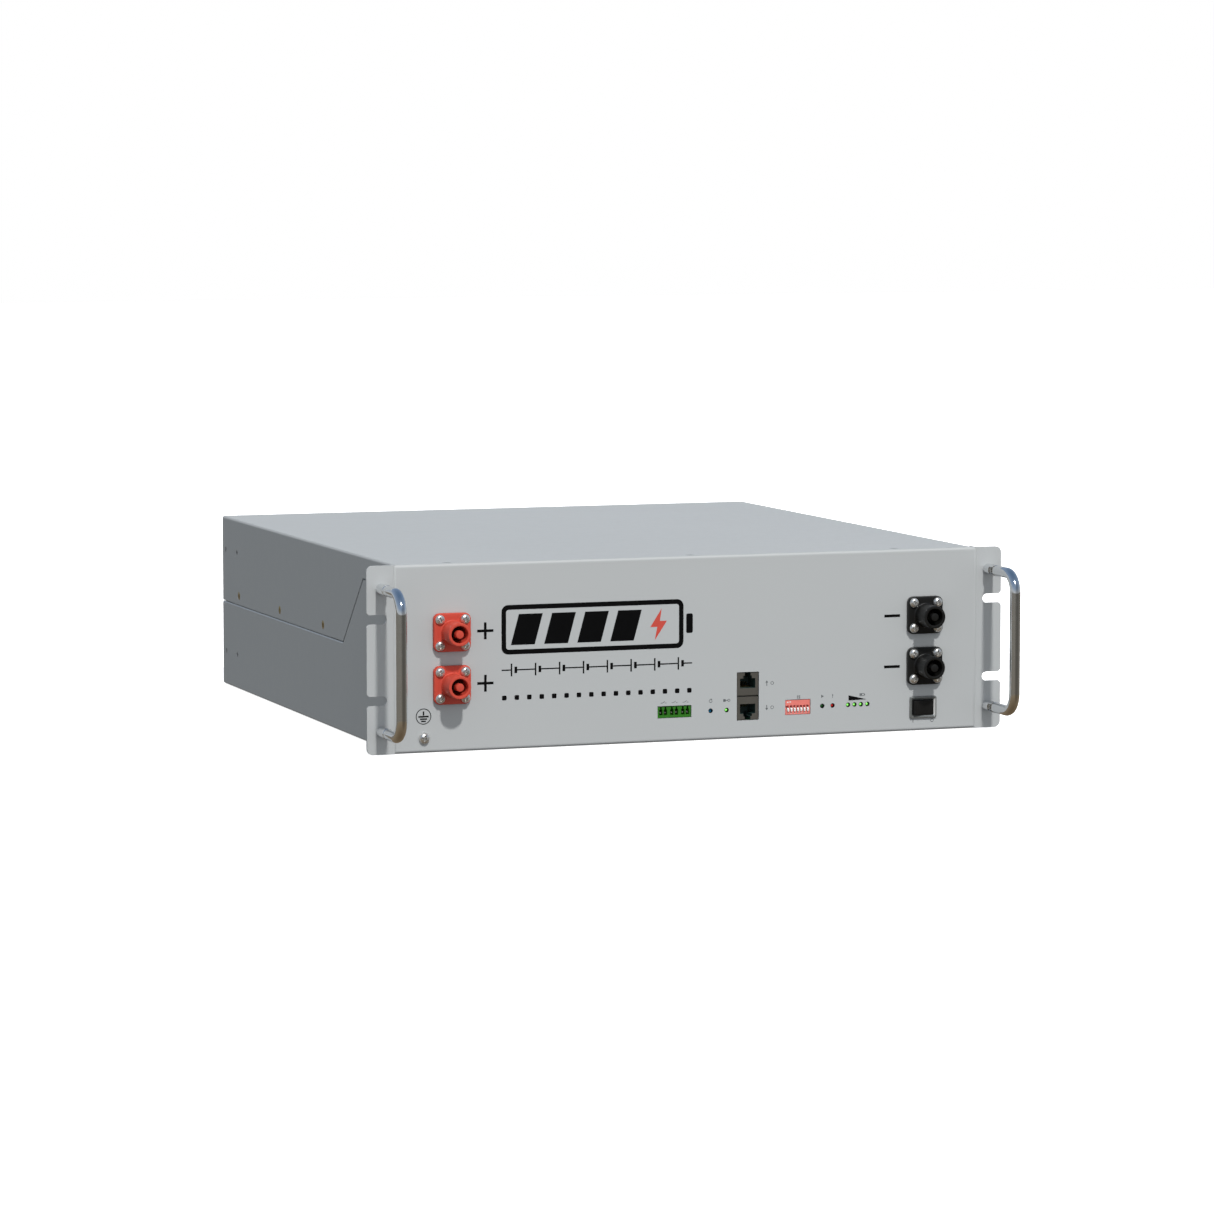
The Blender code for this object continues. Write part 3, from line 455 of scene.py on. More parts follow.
def countersink(mesh, spot, outward, head_radius, shank_radius, depth, steps=32):
    outward = Vector(outward)
    turn = outward.to_track_quat("Z", "Y")
    rings = [[Vector(spot) + turn @ Vector((u * radius, v * radius, w)) for u, v in circle(0.0, 0.0, 1.0, steps)]
             for radius, w in ((head_radius, 0.1), (shank_radius, -depth))]
    loft(mesh, rings)


def build_tray():
    middle = HALF_BODY - SHEET / 2
    top = SEAM_FRONT_Z + 5.0
    mesh = bmesh.new()
    path = [(-middle, top), (-middle, SHEET / 2), (middle, SHEET / 2), (middle, top)]
    prism(mesh, bent_sheet(path, SHEET, BEND), "Y", LOW.y, DEPTH)
    tray = place(stand_in("chassis_tray"), mesh)
    above = bmesh.new()
    prism(above, seam(-SEAM_GAP / 2) + [(600.0, 300.0), (-500.0, 300.0)], "X", -500.0, 500.0)
    carve(tray, above)
    chamfers = bmesh.new()
    edge_z, cut = SEAM_REAR_Z - SEAM_GAP / 2, 0.75
    for side in (-1, 1):
        outline = [(HALF_BODY + 1.0, edge_z - cut - 1.0), (HALF_BODY + 1.0, edge_z + 2.0),
                   (HALF_BODY - cut - 2.0, edge_z + 2.0)]
        prism(chamfers, [(side * u, v) for u, v in outline], "Y", SEAM_SLOPE_Y[1] + 1.0, DEPTH + 5.0)
    carve(tray, chamfers)
    inner, shoulder, top_z = HALF_BODY - SHEET - GAP, SEAM_REAR_Z - 1.0, HEIGHT - SHEET - GAP
    extra = bmesh.new()
    rear = [(-middle, SHEET / 2), (middle, SHEET / 2), (middle, shoulder), (inner, shoulder),
            (inner, top_z - 1.5), (inner - 1.5, top_z), (1.5 - inner, top_z), (-inner, top_z - 1.5),
            (-inner, shoulder), (-middle, shoulder)]
    prism(extra, rear, "Y", DEPTH - 2.0, DEPTH - 0.5)
    for side in (-1, 1):
        ledge = [(side * (inner - 1.4), 50.0), (side * (inner + 0.7), 50.0), (side * (inner + 0.7), shoulder),
                 (side * inner, shoulder), (side * inner, 81.0), (side * (inner - 1.4), 81.0)]
        prism(extra, ledge, "Y", 165.0, 435.0)
    carve(tray, extra, "UNION")
    holes = bmesh.new()
    for side in (-1, 1):
        side_holes(holes, side, [(y, z) for y, z in REAR_HOLES if z < SEAM_REAR_Z], 2.0)
        side_holes(holes, side, EAR_SCREWS, 2.0)
        side_holes(holes, side, SIDE_SCREWS, 1.6)
    carve(tray, holes)
    finish_piece(tray, case_paint(), "case", edge=0.25, stands_for=["chassis_tray"], slot="case_paint")
    # The tray's rounded edges along the seam get a lighter paint: a painted highlight where the edge catches the light.
    tray.data.materials.append(look("seam_painted_highlight", (214, 220, 226), 0.42, patches=(12.0, 0.03), grain=(600.0, 0.03)))
    for face in tray.data.polygons:
        at = (Vector(face.center) - FRONT) / MM
        along_seam = face.normal.z > 0.3 and abs(face.normal.x) > 0.3 and abs(at.z - SEAM_REAR_Z) < 1.5
        if along_seam and abs(at.x) > HALF_BODY - 1.0:
            face.material_index = 1


def build_cover():
    middle = HALF_BODY - SHEET / 2
    mesh = bmesh.new()
    path = [(middle, SEAM_REAR_Z - 5.0), (middle, HEIGHT - SHEET / 2), (-middle, HEIGHT - SHEET / 2),
            (-middle, SEAM_REAR_Z - 5.0)]
    prism(mesh, bent_sheet(path, SHEET, BEND), "Y", LOW.y, DEPTH)
    cover = place(stand_in("top_cover"), mesh)
    below = bmesh.new()
    prism(below, seam(SEAM_GAP / 2) + [(600.0, -500.0), (-500.0, -500.0)], "X", -500.0, 500.0)
    carve(cover, below)
    holes = bmesh.new()
    for x, y in TOP_SCREWS:
        countersink(holes, (x, y, HEIGHT), (0, 0, 1), 3.75, 1.7, SHEET + 0.4)
    for side in (-1, 1):
        for y, z in SIDE_SCREWS:
            countersink(holes, (side * HALF_BODY, y, z), (side, 0, 0), 3.5, 1.6, SHEET + 0.4)
        side_holes(holes, side, [(y, z) for y, z in REAR_HOLES if z > SEAM_REAR_Z], 2.0)
    carve(cover, holes)
    finish_piece(cover, case_paint(), "case", edge=0.25, stands_for=["top_cover"], slot="case_paint")


def panel_section():
    edge, flange, step = 2.2, 18.0, 2.4
    upper = arc(edge, HEIGHT - edge, edge, 180.0, 90.0, 10)
    upper += [(PANEL_LIP, HEIGHT), (PANEL_LIP, HEIGHT - SHEET), (step, HEIGHT - SHEET),
              (step, HEIGHT - SHEET - GAP), (flange, HEIGHT - SHEET - GAP), (flange, HEIGHT - 2 * SHEET - GAP),
              (SHEET, HEIGHT - 2 * SHEET - GAP)]
    low = 2.4
    round_low = [(PANEL_LIP, 0.0)] + arc(low, low, low, 270.0, 180.0, 12)
    return upper + [(y, HEIGHT - z) for y, z in reversed(upper[12:])] + round_low


def build_panel():
    half = HALF_BODY
    mesh = bmesh.new()
    prism(mesh, panel_section(), "X", -half - 2.0, half + 2.0)
    panel = place(stand_in("front_panel"), mesh)
    # The sides curve back a little and then follow the round bend of the ear
    behind, inner = PANEL_LIP + 0.1, HALF_BODY - SHEET - 1.0
    ease, slope = 3.2, 27.0
    bend = EAR_BEND + EAR_SHEET / 2
    meet_y = ease * (1 - math.cos(math.radians(slope)))
    turn = math.degrees(math.acos(1 - meet_y / bend))
    meet_x = half + TIGHT + bend * (1 - math.sin(math.radians(turn))) - 0.04
    side = arc(meet_x - ease * math.sin(math.radians(slope)), ease - 0.01, ease, 270.0, 270.0 + slope, 6)
    side += arc(half + TIGHT + bend, bend, bend + 0.04, 262.0 - turn, 180.0, 6) + [(half, behind), (inner, behind)]
    outline = side + [(inner, 20.0), (-inner, 20.0)] + [(-u, v) for u, v in reversed(side)]
    allowed = bmesh.new()
    prism(allowed, outline, "Z", -5.0, HEIGHT + 5.0)
    carve(panel, allowed, "INTERSECT")

    holes = bmesh.new()
    through = (-1.0, SHEET + 1.0)
    for name in RECEPTACLES:
        at = centre(name)
        prism(holes, circle(at.x, at.z, 9.0, 40), "Y", *through)
    prism(holes, rectangle(SWITCH.x, SWITCH.z, 19.4, 14.2), "Y", *through)
    prism(holes, rounded_rectangle(JACK.x, JACK.z, 17.0, 34.8, 0.5, 4), "Y", *through)
    prism(holes, rectangle(HEADER.x, HEADER_Z, 25.8, 8.8), "Y", *through)
    prism(holes, rectangle(DIP.x, DIP_Z, 19.6, 11.0), "Y", *through)
    for x in (centre("reset_button").x, *[centre(f"{n}_indicator").x for n in ("mode", "run", "alarm")], *CHARGE_X):
        prism(holes, circle(x, ROW_Z, 1.7, 40), "Y", *through)
    prism(holes, circle(GROUND.x, GROUND.z, 2.8, 24), "Y", *through)
    carve(panel, holes)
    top_holes = bmesh.new()
    for x, y in TOP_SCREWS:
        prism(top_holes, circle(x, y, 1.7, 24), "Z", HEIGHT - 6.0, HEIGHT + 2.0)
    carve(panel, top_holes)
    finish_piece(panel, case_paint(), "case", edge=0.22, stands_for=["front_panel"], slot="case_paint")


def build_ear(name, side):
    leg_x = side * (HALF_BODY + TIGHT + EAR_SHEET / 2)
    leg_end = span(name)[1].y
    mesh = bmesh.new()
    path = [(leg_x, leg_end), (leg_x, EAR_SHEET / 2), (side * HALF_RACK, EAR_SHEET / 2)]
    prism(mesh, bent_sheet(path, EAR_SHEET, EAR_BEND, 10), "Z", 0.0, HEIGHT)
    ear = place(stand_in(name), mesh)
    openings = bmesh.new()
    through = (-1.0, EAR_SHEET + 1.0)
    half, inner_x, chamfer, corner = 3.3, 226.6, 1.6, 4.5
    for z in (HEIGHT / 2 - SLOT_PITCH / 2, HEIGHT / 2 + SLOT_PITCH / 2):
        mouth = [(HALF_RACK - chamfer, z - half), (HALF_RACK, z - half - chamfer),
                 (HALF_RACK + 2.0, z - half - chamfer), (HALF_RACK + 2.0, z + half + chamfer),
                 (HALF_RACK, z + half + chamfer), (HALF_RACK - chamfer, z + half)]
        slot = mouth + arc(inner_x + half, z, half, 90.0, 270.0, 20)
        prism(openings, [(side * x, v) for x, v in slot], "Y", *through)
    for z, sense in ((0.0, 1), (HEIGHT, -1)):
        turn = arc(HALF_RACK - corner, z + sense * corner, corner, 0.0, -90.0 * sense, 12)
        turn += [(HALF_RACK - corner, z - 2.0 * sense), (HALF_RACK + 2.0, z - 2.0 * sense),
                 (HALF_RACK + 2.0, z + sense * corner)]
        prism(openings, [(side * x, v) for x, v in turn], "Y", *through)
    for z in LEGS_Z:
        prism(openings, circle(side * HANDLE_X, z, 2.4, 24), "Y", *through)
    across = sorted((side * HALF_BODY, side * (HALF_BODY + EAR_SHEET + 2.0)))
    step_y, step_z = 10.0, 6.5
    for z, sense in ((0.0, 1), (HEIGHT, -1)):
        step = [(step_y, z - 2.0 * sense), (step_y, z), (step_y + step_z, z + sense * step_z),
                (leg_end + 2.0, z + sense * step_z), (leg_end + 2.0, z - 2.0 * sense)]
        prism(openings, step, "X", *across)
    surface = side * (HALF_BODY + TIGHT + EAR_SHEET)
    for y, z in EAR_SCREWS:
        countersink(openings, (surface, y, z), (side, 0, 0), 3.9, 2.0, EAR_SHEET + 0.4)
    carve(ear, openings)
    finish_piece(ear, case_paint(), "case", edge=0.3, stands_for=[name], slot="case_paint")


# Screws


def countersunk_screw(name, spot, outward, radius, material, turn):
    """Flush screw head with a crossed recess, its face 0.15 mm under the sheet's surface."""
    mesh = bmesh.new()
    profile = [(0.0, 0.15), (radius - 0.5, 0.15), (radius - 0.3, 0.25), (radius * 0.45, 1.8), (radius * 0.45, 6.0),
               (0.0, 6.0)]
    lathe(mesh, profile, (0.0, 0.0), 32)
    made = cross_cut(name, mesh, radius * 0.55, 0.42, 0.15, 1.3)
    set_screw(made, spot, outward, turn)
    return finish_piece(made, material, "case", angle=28.0, slot="zinc_steel")


def pan_screw(name, spot, outward, radius, height, material, turn, body="case", stands_for=()):
    mesh = bmesh.new()
    profile = [(0.0, -height), (radius * 0.32, -height * 0.99), (radius * 0.6, -height * 0.9),
               (radius * 0.82, -height * 0.7), (radius * 0.95, -height * 0.42), (radius, -height * 0.12),
               (radius * 0.98, 0.0), (radius * 0.55, 0.0), (radius * 0.55, 8.0), (0.0, 8.0)]
    lathe(mesh, profile, (0.0, 0.0), 36)
    made = cross_cut(name, mesh, radius * 0.7, radius * 0.17, -height, 1.6)
    set_screw(made, spot, outward, turn)
    return finish_piece(made, material, body, angle=40.0, slot="zinc_steel", stands_for=stands_for)


def cross_cut(name, mesh, arm, half, front_y, depth):
    """Makes the screw about its own axis, in metres, with a tapered cross sunk in its head."""
    made = place(name, mesh)
    recess = bmesh.new()
    rings = []
    for y, grow in ((front_y - 1.0, 1.25), (front_y + depth, 0.55)):
        rings.append([(u * grow, y, v * grow) for u, v in cross_outline(arm, half)])
    loft(recess, rings)
    carve(made, recess)
    made.data.transform(Matrix.Translation(-FRONT))
    return made


def set_screw(made, spot, outward, turn):
    """Stands a screw, whose head faces -Y, at a spot in panel millimetres with its head facing outward."""
    lift = Vector((0.0, -1.0, 0.0)).rotation_difference(Vector(outward)).to_matrix().to_4x4()
    spin = Matrix.Rotation(math.radians(turn), 4, "Y")
    made.matrix_world = Matrix.Translation(Vector(spot) * MM + FRONT) @ lift @ spin


def build_case_screws():
    for i, (x, y) in enumerate(TOP_SCREWS, 1):
        countersunk_screw(f"cover_top_screw_{i}", (x, y, HEIGHT), (0, 0, 1), 3.75, dull_zinc(), 20.0 * i)
    for word, side in SIDES:
        for i, (y, z) in enumerate(SIDE_SCREWS, 1):
            countersunk_screw(f"{word}_cover_screw_{i}", (side * HALF_BODY, y, z), (side, 0, 0), 3.5,
                              yellow_zinc(), 37.0 * i)
        for i, (y, z) in enumerate(EAR_SCREWS, 1):
            surface = side * (HALF_BODY + TIGHT + EAR_SHEET)
            countersunk_screw(f"{word}_ear_screw_{i}", (surface, y, z), (side, 0, 0), 3.9, bright_zinc(), 25.0 * i)
    pan_screw(stand_in("ground_screw"), (GROUND.x, -GAP, GROUND.z), (0, -1, 0), 3.95, 2.65, bright_zinc(), 12.0,
              stands_for=["ground_screw"])


# Handles


def build_handle(word, side):
    """Chromed bar bent into a U, with a tongue on each leg for its hinge pin."""
    x = side * HANDLE_X
    reach = -span(f"{word}_handle")[0].y
    radius = (span(f"{word}_handle")[1].x - span(f"{word}_handle")[0].x) / 2
    bar_y, bend, chamfer = radius - reach, 14.0, 0.35
    low, high = LEGS_Z
    end_y = POST_FRONT - GAP
    path = [(x, end_y, high), (x, end_y - chamfer, high)]
    path += [(x, y, z) for y, z in arc(bar_y + bend, high - bend, bend, 90.0, 180.0, 20)]
    path += [(x, y, z) for y, z in arc(bar_y + bend, low + bend, bend, 180.0, 270.0, 20)]
    path += [(x, end_y - chamfer, low), (x, end_y, low)]
    radii = [radius - chamfer] + [radius] * (len(path) - 2) + [radius - chamfer]
    mesh = bmesh.new()
    tube(mesh, path, radii, 48)
    handle = place(stand_in(f"{word}_handle"), mesh)
    tongues = bmesh.new()
    outline = arc(x, PIN_Y, 2.15, 0.0, 180.0, 16) + [(x - 2.15, end_y - 4.0), (x + 2.15, end_y - 4.0)]
    for z in LEGS_Z:
        prism(tongues, outline, "Z", z - 2.1, z + 2.1)
    carve(handle, tongues, "UNION")
    holes = bmesh.new()
    for z in LEGS_Z:
        prism(holes, circle(x, PIN_Y, 1.15, 24), "Z", z - 5.0, z + 5.0)
    carve(handle, holes)
    finish_piece(handle, chrome(), f"{word}_handle", angle=35.0, stands_for=[f"{word}_handle"], slot="chrome")


def build_post(word, side, level, z):
    name = f"{word}_{level}_handle_post"
    x = side * HANDLE_X
    low, high = span(name)
    radius = (high.x - low.x) / 2
    round_off = [(radius - 0.35 + 0.35 * math.sin(t), POST_FRONT + 0.35 - 0.35 * math.cos(t))
                 for t in [math.radians(15.0 * i) for i in range(7)]]
    profile = [(0.0, POST_FRONT)] + round_off + [(radius, -0.55), (radius - 0.25, -GAP), (2.1, -GAP), (2.1, high.y),
                                                 (0.0, high.y)]
    mesh = bmesh.new()
    lathe(mesh, profile, (x, z), 48)
    post = place(stand_in(name), mesh)
    fork = bmesh.new()
    box(fork, sorted((x - side * 6.0, x + side * 2.7)), (POST_FRONT - 2.0, PIN_Y + 2.5), (z - 2.45, z + 2.45))
    carve(post, fork)
    swing = PIN_Y - POST_FRONT
    turned = [(x - side * u, PIN_Y - v) for u, v in arc(0.0, 0.0, swing, 5.0, 85.0, 14)]
    outer = [(turned[-1][0], PIN_Y - 7.0), (x - side * 7.0, PIN_Y - 7.0), (x - side * 7.0, turned[0][1])]
    edge = bmesh.new()
    prism(edge, turned + outer, "Z", z - 6.0, z + 6.0)
    carve(post, edge)
    hole = bmesh.new()
    prism(hole, circle(x, PIN_Y, 1.05, 24), "Z", z - 6.0, z + 6.0)
    carve(post, hole)
    finish_piece(post, chrome(), "case", angle=35.0, stands_for=[name], slot="chrome")

    pin_name = f"{word}_{level}_hinge_pin"
    low, high = span(pin_name)
    pin = bmesh.new()
    half = (high.z - low.z) / 2
    lathe(pin, [(0.0, -half), (0.8, -half), (1.0, 0.2 - half), (1.0, half - 0.2), (0.8, half), (0.0, half)],
          (0.0, 0.0), 24)
    bmesh.ops.rotate(pin, cent=(0, 0, 0), matrix=Matrix.Rotation(math.radians(90.0), 3, "X"), verts=pin.verts)
    bmesh.ops.translate(pin, vec=(x, PIN_Y, z), verts=pin.verts)
    piece(stand_in(pin_name), pin, bright_zinc(), angle=40.0, stands_for=[pin_name], slot="zinc_steel")

    nut = bmesh.new()
    prism(nut, circle(x, z, 4.0, 6), "Y", EAR_SHEET + GAP, EAR_SHEET + GAP + 3.0)
    made = place(f"{word}_{level}_post_nut", nut)
    bore = bmesh.new()
    prism(bore, circle(x, z, 2.2, 24), "Y", 0.0, 9.0)
    carve(made, bore)
    finish_piece(made, bright_zinc(), "case", edge=0.3, slot="zinc_steel")


# Power receptacles


def build_receptacle(name):
    at = centre(name)
    low, high = span(name)
    x, z = at.x, at.z
    material = red_plastic() if name.startswith("positive") else black_plastic()
    slot = "red_plastic" if name.startswith("positive") else "black_plastic"
    front, floor, rear = low.y + 0.8, 4.0, high.y
    barrel, bore, core, tip = 8.25, 6.05, 2.9, 0.55
    lip = 0.55

    def corner(radius, y, start, end):
        return [(radius + lip * math.cos(math.radians(a)), y + lip * math.sin(math.radians(a)))
                for a in (start, start + (end - start) / 3, start + 2 * (end - start) / 3, end)]

    fillet = [(barrel + 0.9 * (1 - math.cos(math.radians(a))), FLANGE_FRONT_Y - 0.9 * (1 - math.sin(math.radians(a))))
              for a in (0.0, 22.0, 45.0, 68.0, 90.0)]
    profile = [(0.0, front - 0.3)]
    profile += [(core - tip * (1 - math.sin(math.radians(a))), front - 0.3 + tip * (1 - math.cos(math.radians(a))))
                for a in (0.0, 30.0, 60.0, 90.0)]
    profile += [(core, floor), (bore, floor)]
    profile += corner(bore + lip, front + lip, 180.0, 270.0)
    profile += corner(barrel - lip, front + lip, 270.0, 360.0)
    profile += fillet + [(barrel + 0.9, -1.0), (barrel, -1.0), (barrel, rear), (3.3, rear), (3.3, rear - 5.0),
                         (0.0, rear - 5.0)]
    mesh = bmesh.new()
    lathe(mesh, profile, (x, z), 64)
    shell = place(stand_in(name), mesh)

    width, edge = 27.2, 0.8
    rings = []
    for i in range(6):
        a = math.radians(18.0 * i)
        shrink = edge * (1 - math.sin(a))
        y = FLANGE_FRONT_Y + edge * (1 - math.cos(a))
        rings.append([(u, y, v) for u, v in
                      rounded_rectangle(x, z, width - 2 * shrink, width - 2 * shrink, 4.6 - shrink, 10)])
    rings.append([(u, -GAP, v) for u, v in rounded_rectangle(x, z, width, width, 4.6, 10)])
    flange = bmesh.new()
    loft(flange, rings)
    plate = place(f"{name}_plate", flange)
    hollow = bmesh.new()
    prism(hollow, circle(x, z, bore + 1.0, 64), "Y", FLANGE_FRONT_Y - 2.0, 2.0)
    carve(plate, hollow)
    step = shell.modifiers.new("flange", "BOOLEAN")
    step.operation = "UNION"
    step.solver = "EXACT"
    step.object = plate
    settle(shell)
    bpy.data.objects.remove(plate, do_unlink=True)
    screws = [(x + dx * FLANGE_SCREW_REACH, z + dz * FLANGE_SCREW_REACH) for dx in (-1, 1) for dz in (-1, 1)]
    holes = bmesh.new()
    for u, v in screws:
        prism(holes, circle(u, v, 1.75, 24), "Y", FLANGE_FRONT_Y - 1.0, 1.0)
    carve(shell, holes)
    finish_piece(shell, material, "case", angle=30.0, stands_for=[name], slot=slot)

    # A metal sleeve round the core, standing for its contact; its dark colour is painted shade deep in the bore.
    sleeve = bmesh.new()
    lathe(sleeve, [(core + 0.1, -15.5), (core + 0.7, -15.0), (core + 0.7, 3.0), (core + 0.1, 3.0)], (x, z), 48)
    closed_ring(sleeve)
    piece(f"{name}_contact", sleeve, look("socket_contact_and_shade", (66, 64, 60), 0.4, 0.9, patches=(200.0, 0.1),
                                          grain=(1500.0, 0.05)), slot="zinc_steel")
    for i, (u, v) in enumerate(screws):
        pan_screw(f"{name}_screw_{i + 1}", (u, FLANGE_FRONT_Y, v), (0, -1, 0), 3.5, 2.3, bright_zinc(),
                  (8.0, -14.0, 21.0, 3.0)[i])


def closed_ring(mesh):
    """Joins the open inner edge loops of a turned ring, so that it is a closed body."""
    loops = [e for e in mesh.edges if e.is_boundary]
    bmesh.ops.bridge_loops(mesh, edges=loops)


# Signal row


HEADER_Z = 21.4
DIP_Z = 21.0


def jack_mouth(x, z, sense):
    wide, step, notch = 5.85, 3.25, 2.2
    right = [(x + u, z + sense * v) for u, v in
             ((wide, 0.0), (wide, 7.0), (step, 7.0), (step, 9.0), (notch, 9.0), (notch, 11.4))]
    return right + [(2 * x - u, v) for u, v in reversed(right)]


def build_jack():
    low, high = span("network_jack_block")
    x, z = JACK.x, JACK.z
    mesh = bmesh.new()
    box(mesh, (low.x, high.x), (low.y, high.y), (low.z, high.z))
    block = place(stand_in("network_jack_block"), mesh)
    mouths = bmesh.new()
    for sense in (-1, 1):
        prism(mouths, jack_mouth(x, z + sense * 5.7, sense), "Y", -1.0, 15.0)
    box(mouths, (x - 12.0, x + 12.0), (-1.0, 2.6), (z - 0.52, z + 0.52))
    carve(block, mouths)
    shell = look("jack_shell", (82, 79, 73), 0.42, patches=(80.0, 0.05), grain=(2400.0, 0.06))
    dark = look("jack_inside", (44, 66, 64), 0.4, patches=(120.0, 0.12), grain=(2400.0, 0.05))
    finish_piece(block, shell, "case", edge=0.15, stands_for=["network_jack_block"], slot="jack_shell")
    block.data.materials.append(dark)
    for face in block.data.polygons:
        at = (Vector(face.center) - FRONT) / MM
        inside = abs(at.x - x) < 5.9 and 5.6 < abs(at.z - z) < 17.3
        if inside and at.y > low.y + 0.6 and at.y < 15.2:
            face.material_index = 1
    gold = look("gold_contact", (214, 170, 84), 0.25, 1.0, patches=(300.0, 0.06), grain=(2000.0, 0.02))
    for word, sense in (("upper", 1), ("lower", -1)):
        wires = bmesh.new()
        for i in range(8):
            wire_x = x + (i - 3.5) * 1.02
            base = z + sense * 5.95
            path = [(wire_x, 6.4, base), (wire_x, 7.2, base + sense * 0.35), (wire_x, 13.2, base + sense * 2.8),
                    (wire_x, 14.4, base + sense * 3.0)]
            tube(wires, path, [0.24] * 4, 8)
        piece(f"{word}_port_contacts", wires, gold, angle=50.0, slot="zinc_steel")


def build_header():
    low, high = span("dry_contact_header")
    x, z = HEADER.x, HEADER_Z
    mesh = bmesh.new()
    box(mesh, (low.x, high.x), (low.y, high.y), (z - 4.1, z + 4.1))
    header = place(stand_in("dry_contact_header"), mesh)
    base = bmesh.new()
    box(base, (x - 12.0, x + 12.0), (5.0, 12.0), (low.z, z))
    carve(header, base, "UNION")
    ways = bmesh.new()
    pins = bmesh.new()
    for pair in (-1, 0, 1):
        for way in (-0.5, 0.5):
            at = x + pair * 8.35 + way * 3.5
            keyhole = [(at - 1.25, z - 2.4), (at + 1.25, z - 2.4), (at + 1.25, z + 1.8), (at + 0.6, z + 1.8),
                       (at + 0.6, z + 3.6), (at - 0.6, z + 3.6), (at - 0.6, z + 1.8), (at - 1.25, z + 1.8)]
            prism(ways, keyhole, "Y", -1.0, 9.0)
            rings = [[(u, y, v) for u, v in rectangle(at, z - 0.6, grow, grow)]
                     for y, grow in ((1.7, 0.6), (2.2, 1.0), (9.4, 1.0))]
            loft(pins, rings)
    carve(header, ways)
    green = look("green_plastic", (44, 118, 20), 0.42, patches=(90.0, 0.06), grain=(2400.0, 0.06))
    finish_piece(header, green, "case", edge=0.15, stands_for=["dry_contact_header"], slot="green_plastic")
    piece("dry_contact_pins", pins, bright_zinc(), slot="zinc_steel")


def digit_mesh(text, spot, height, depth, name, material):
    """A numeral or mark in the default typeface, standing on the XZ plane and facing -Y."""
    curve = bpy.data.curves.new(name, "FONT")
    curve.body = text
    curve.size = height * MM
    curve.align_x = "CENTER"
    curve.align_y = "CENTER"
    curve.extrude = depth * MM / 2
    source = bpy.data.objects.new(f"{name}_source", curve)
    bpy.context.scene.collection.objects.link(source)
    source.rotation_euler.x = math.radians(90.0)
    source.location = Vector(spot) * MM + FRONT
    bpy.context.view_layer.update()
    graph = bpy.context.evaluated_depsgraph_get()
    data = bpy.data.meshes.new_from_object(source.evaluated_get(graph))
    data.transform(source.matrix_world)
    made = bpy.data.objects.new(name, data)
    bpy.context.scene.collection.objects.link(made)
    bpy.data.objects.remove(source, do_unlink=True)
    return finish_piece(made, material, "case", slot="white_plastic")


def build_address_switch():
    low, high = span("address_switch_body")
    x, z = DIP.x, DIP_Z
    mesh = bmesh.new()
    box(mesh, (low.x, high.x), (low.y, high.y), (z - 5.2, z + 5.2))
    body = place(stand_in("address_switch_body"), mesh)
    base = bmesh.new()
    box(base, (x - 9.0, x + 9.0), (4.0, 8.0), (low.z, z))
    carve(body, base, "UNION")
    slots = bmesh.new()
    for name in SLIDERS:
        prism(slots, rectangle(centre(name).x, z - 0.85, 1.7, 4.3), "Y", -1.0, 3.0)
    carve(body, slots)
    notch = bmesh.new()
    prism(notch, circle(low.x, z, 1.2, 24), "Y", -1.0, 1.5)
    carve(body, notch)
    coral = look("dip_plastic", (240, 130, 120), 0.36, patches=(120.0, 0.05), grain=(2400.0, 0.05))
    finish_piece(body, coral, "case", edge=0.12, stands_for=["address_switch_body"], slot="dip_plastic")
    white = look("white_plastic", (232, 238, 236), 0.34, patches=(300.0, 0.03), grain=(2400.0, 0.04))
    for number, name in enumerate(SLIDERS, 1):
        at = centre(name)
        slider_low, slider_high = span(name)
        bottom, top = slider_low.z - 0.2, slider_high.z + 0.5
        outline = [(slider_low.y, bottom), (slider_low.y, top - 0.9), (slider_low.y + 0.9, top),
                   (slider_high.y, top), (slider_high.y, bottom)]
        slider = bmesh.new()
        prism(slider, outline, "X", at.x - 0.62, at.x + 0.62)
        piece(stand_in(name), slider, white, body=name, edge=0.08, stands_for=[name], slot="white_plastic")
        digit_mesh(str(number), (at.x, low.y, z - 4.15), 1.9, PRINT, f"address_digit_{number}", print_white())
    arrow = bmesh.new()
    prism(arrow, [(x - 8.3, z + 3.2), (x - 6.9, z + 3.2), (x - 7.6, z + 4.5)], "Y", low.y - PRINT, low.y + 0.02)
    box(arrow, (x - 6.4, x - 5.2), (low.y - PRINT, low.y + 0.02), (z + 3.5, z + 4.2))
    piece("address_on_mark", arrow, print_white(), slot="white_plastic")


def hole_sleeve(name, x):
    """Black ring that lines a hole of the signal row."""
    mesh = bmesh.new()
    lathe(mesh, [(1.45, 0.1), (1.68, 0.1), (1.68, 5.0), (1.45, 5.0)], (x, ROW_Z), 40)
    closed_ring(mesh)
    piece(name, mesh, look("sleeve_black", (10, 10, 10), 0.6, patches=(300.0, 0.2), grain=(2400.0, 0.05)),
          slot="black_plastic")


def build_reset_button():
    hole_sleeve("reset_button_sleeve", centre("reset_button").x)
    low, high = span("reset_button")
    x = centre("reset_button").x
    tip = low.y + 0.5
    dome = [(1.3 * math.sin(math.radians(t)), tip + 0.5 - 0.5 * math.cos(math.radians(t))) for t in range(0, 91, 15)]
    mesh = bmesh.new()
    lathe(mesh, dome + [(1.3, high.y), (0.0, high.y)], (x, ROW_Z), 32)
    blue = look("blue_plastic", (16, 112, 158), 0.35, patches=(400.0, 0.06), grain=(2400.0, 0.04))
    piece(stand_in("reset_button"), mesh, blue, body="reset_button", angle=40.0, stands_for=["reset_button"],
          slot="blue_plastic")


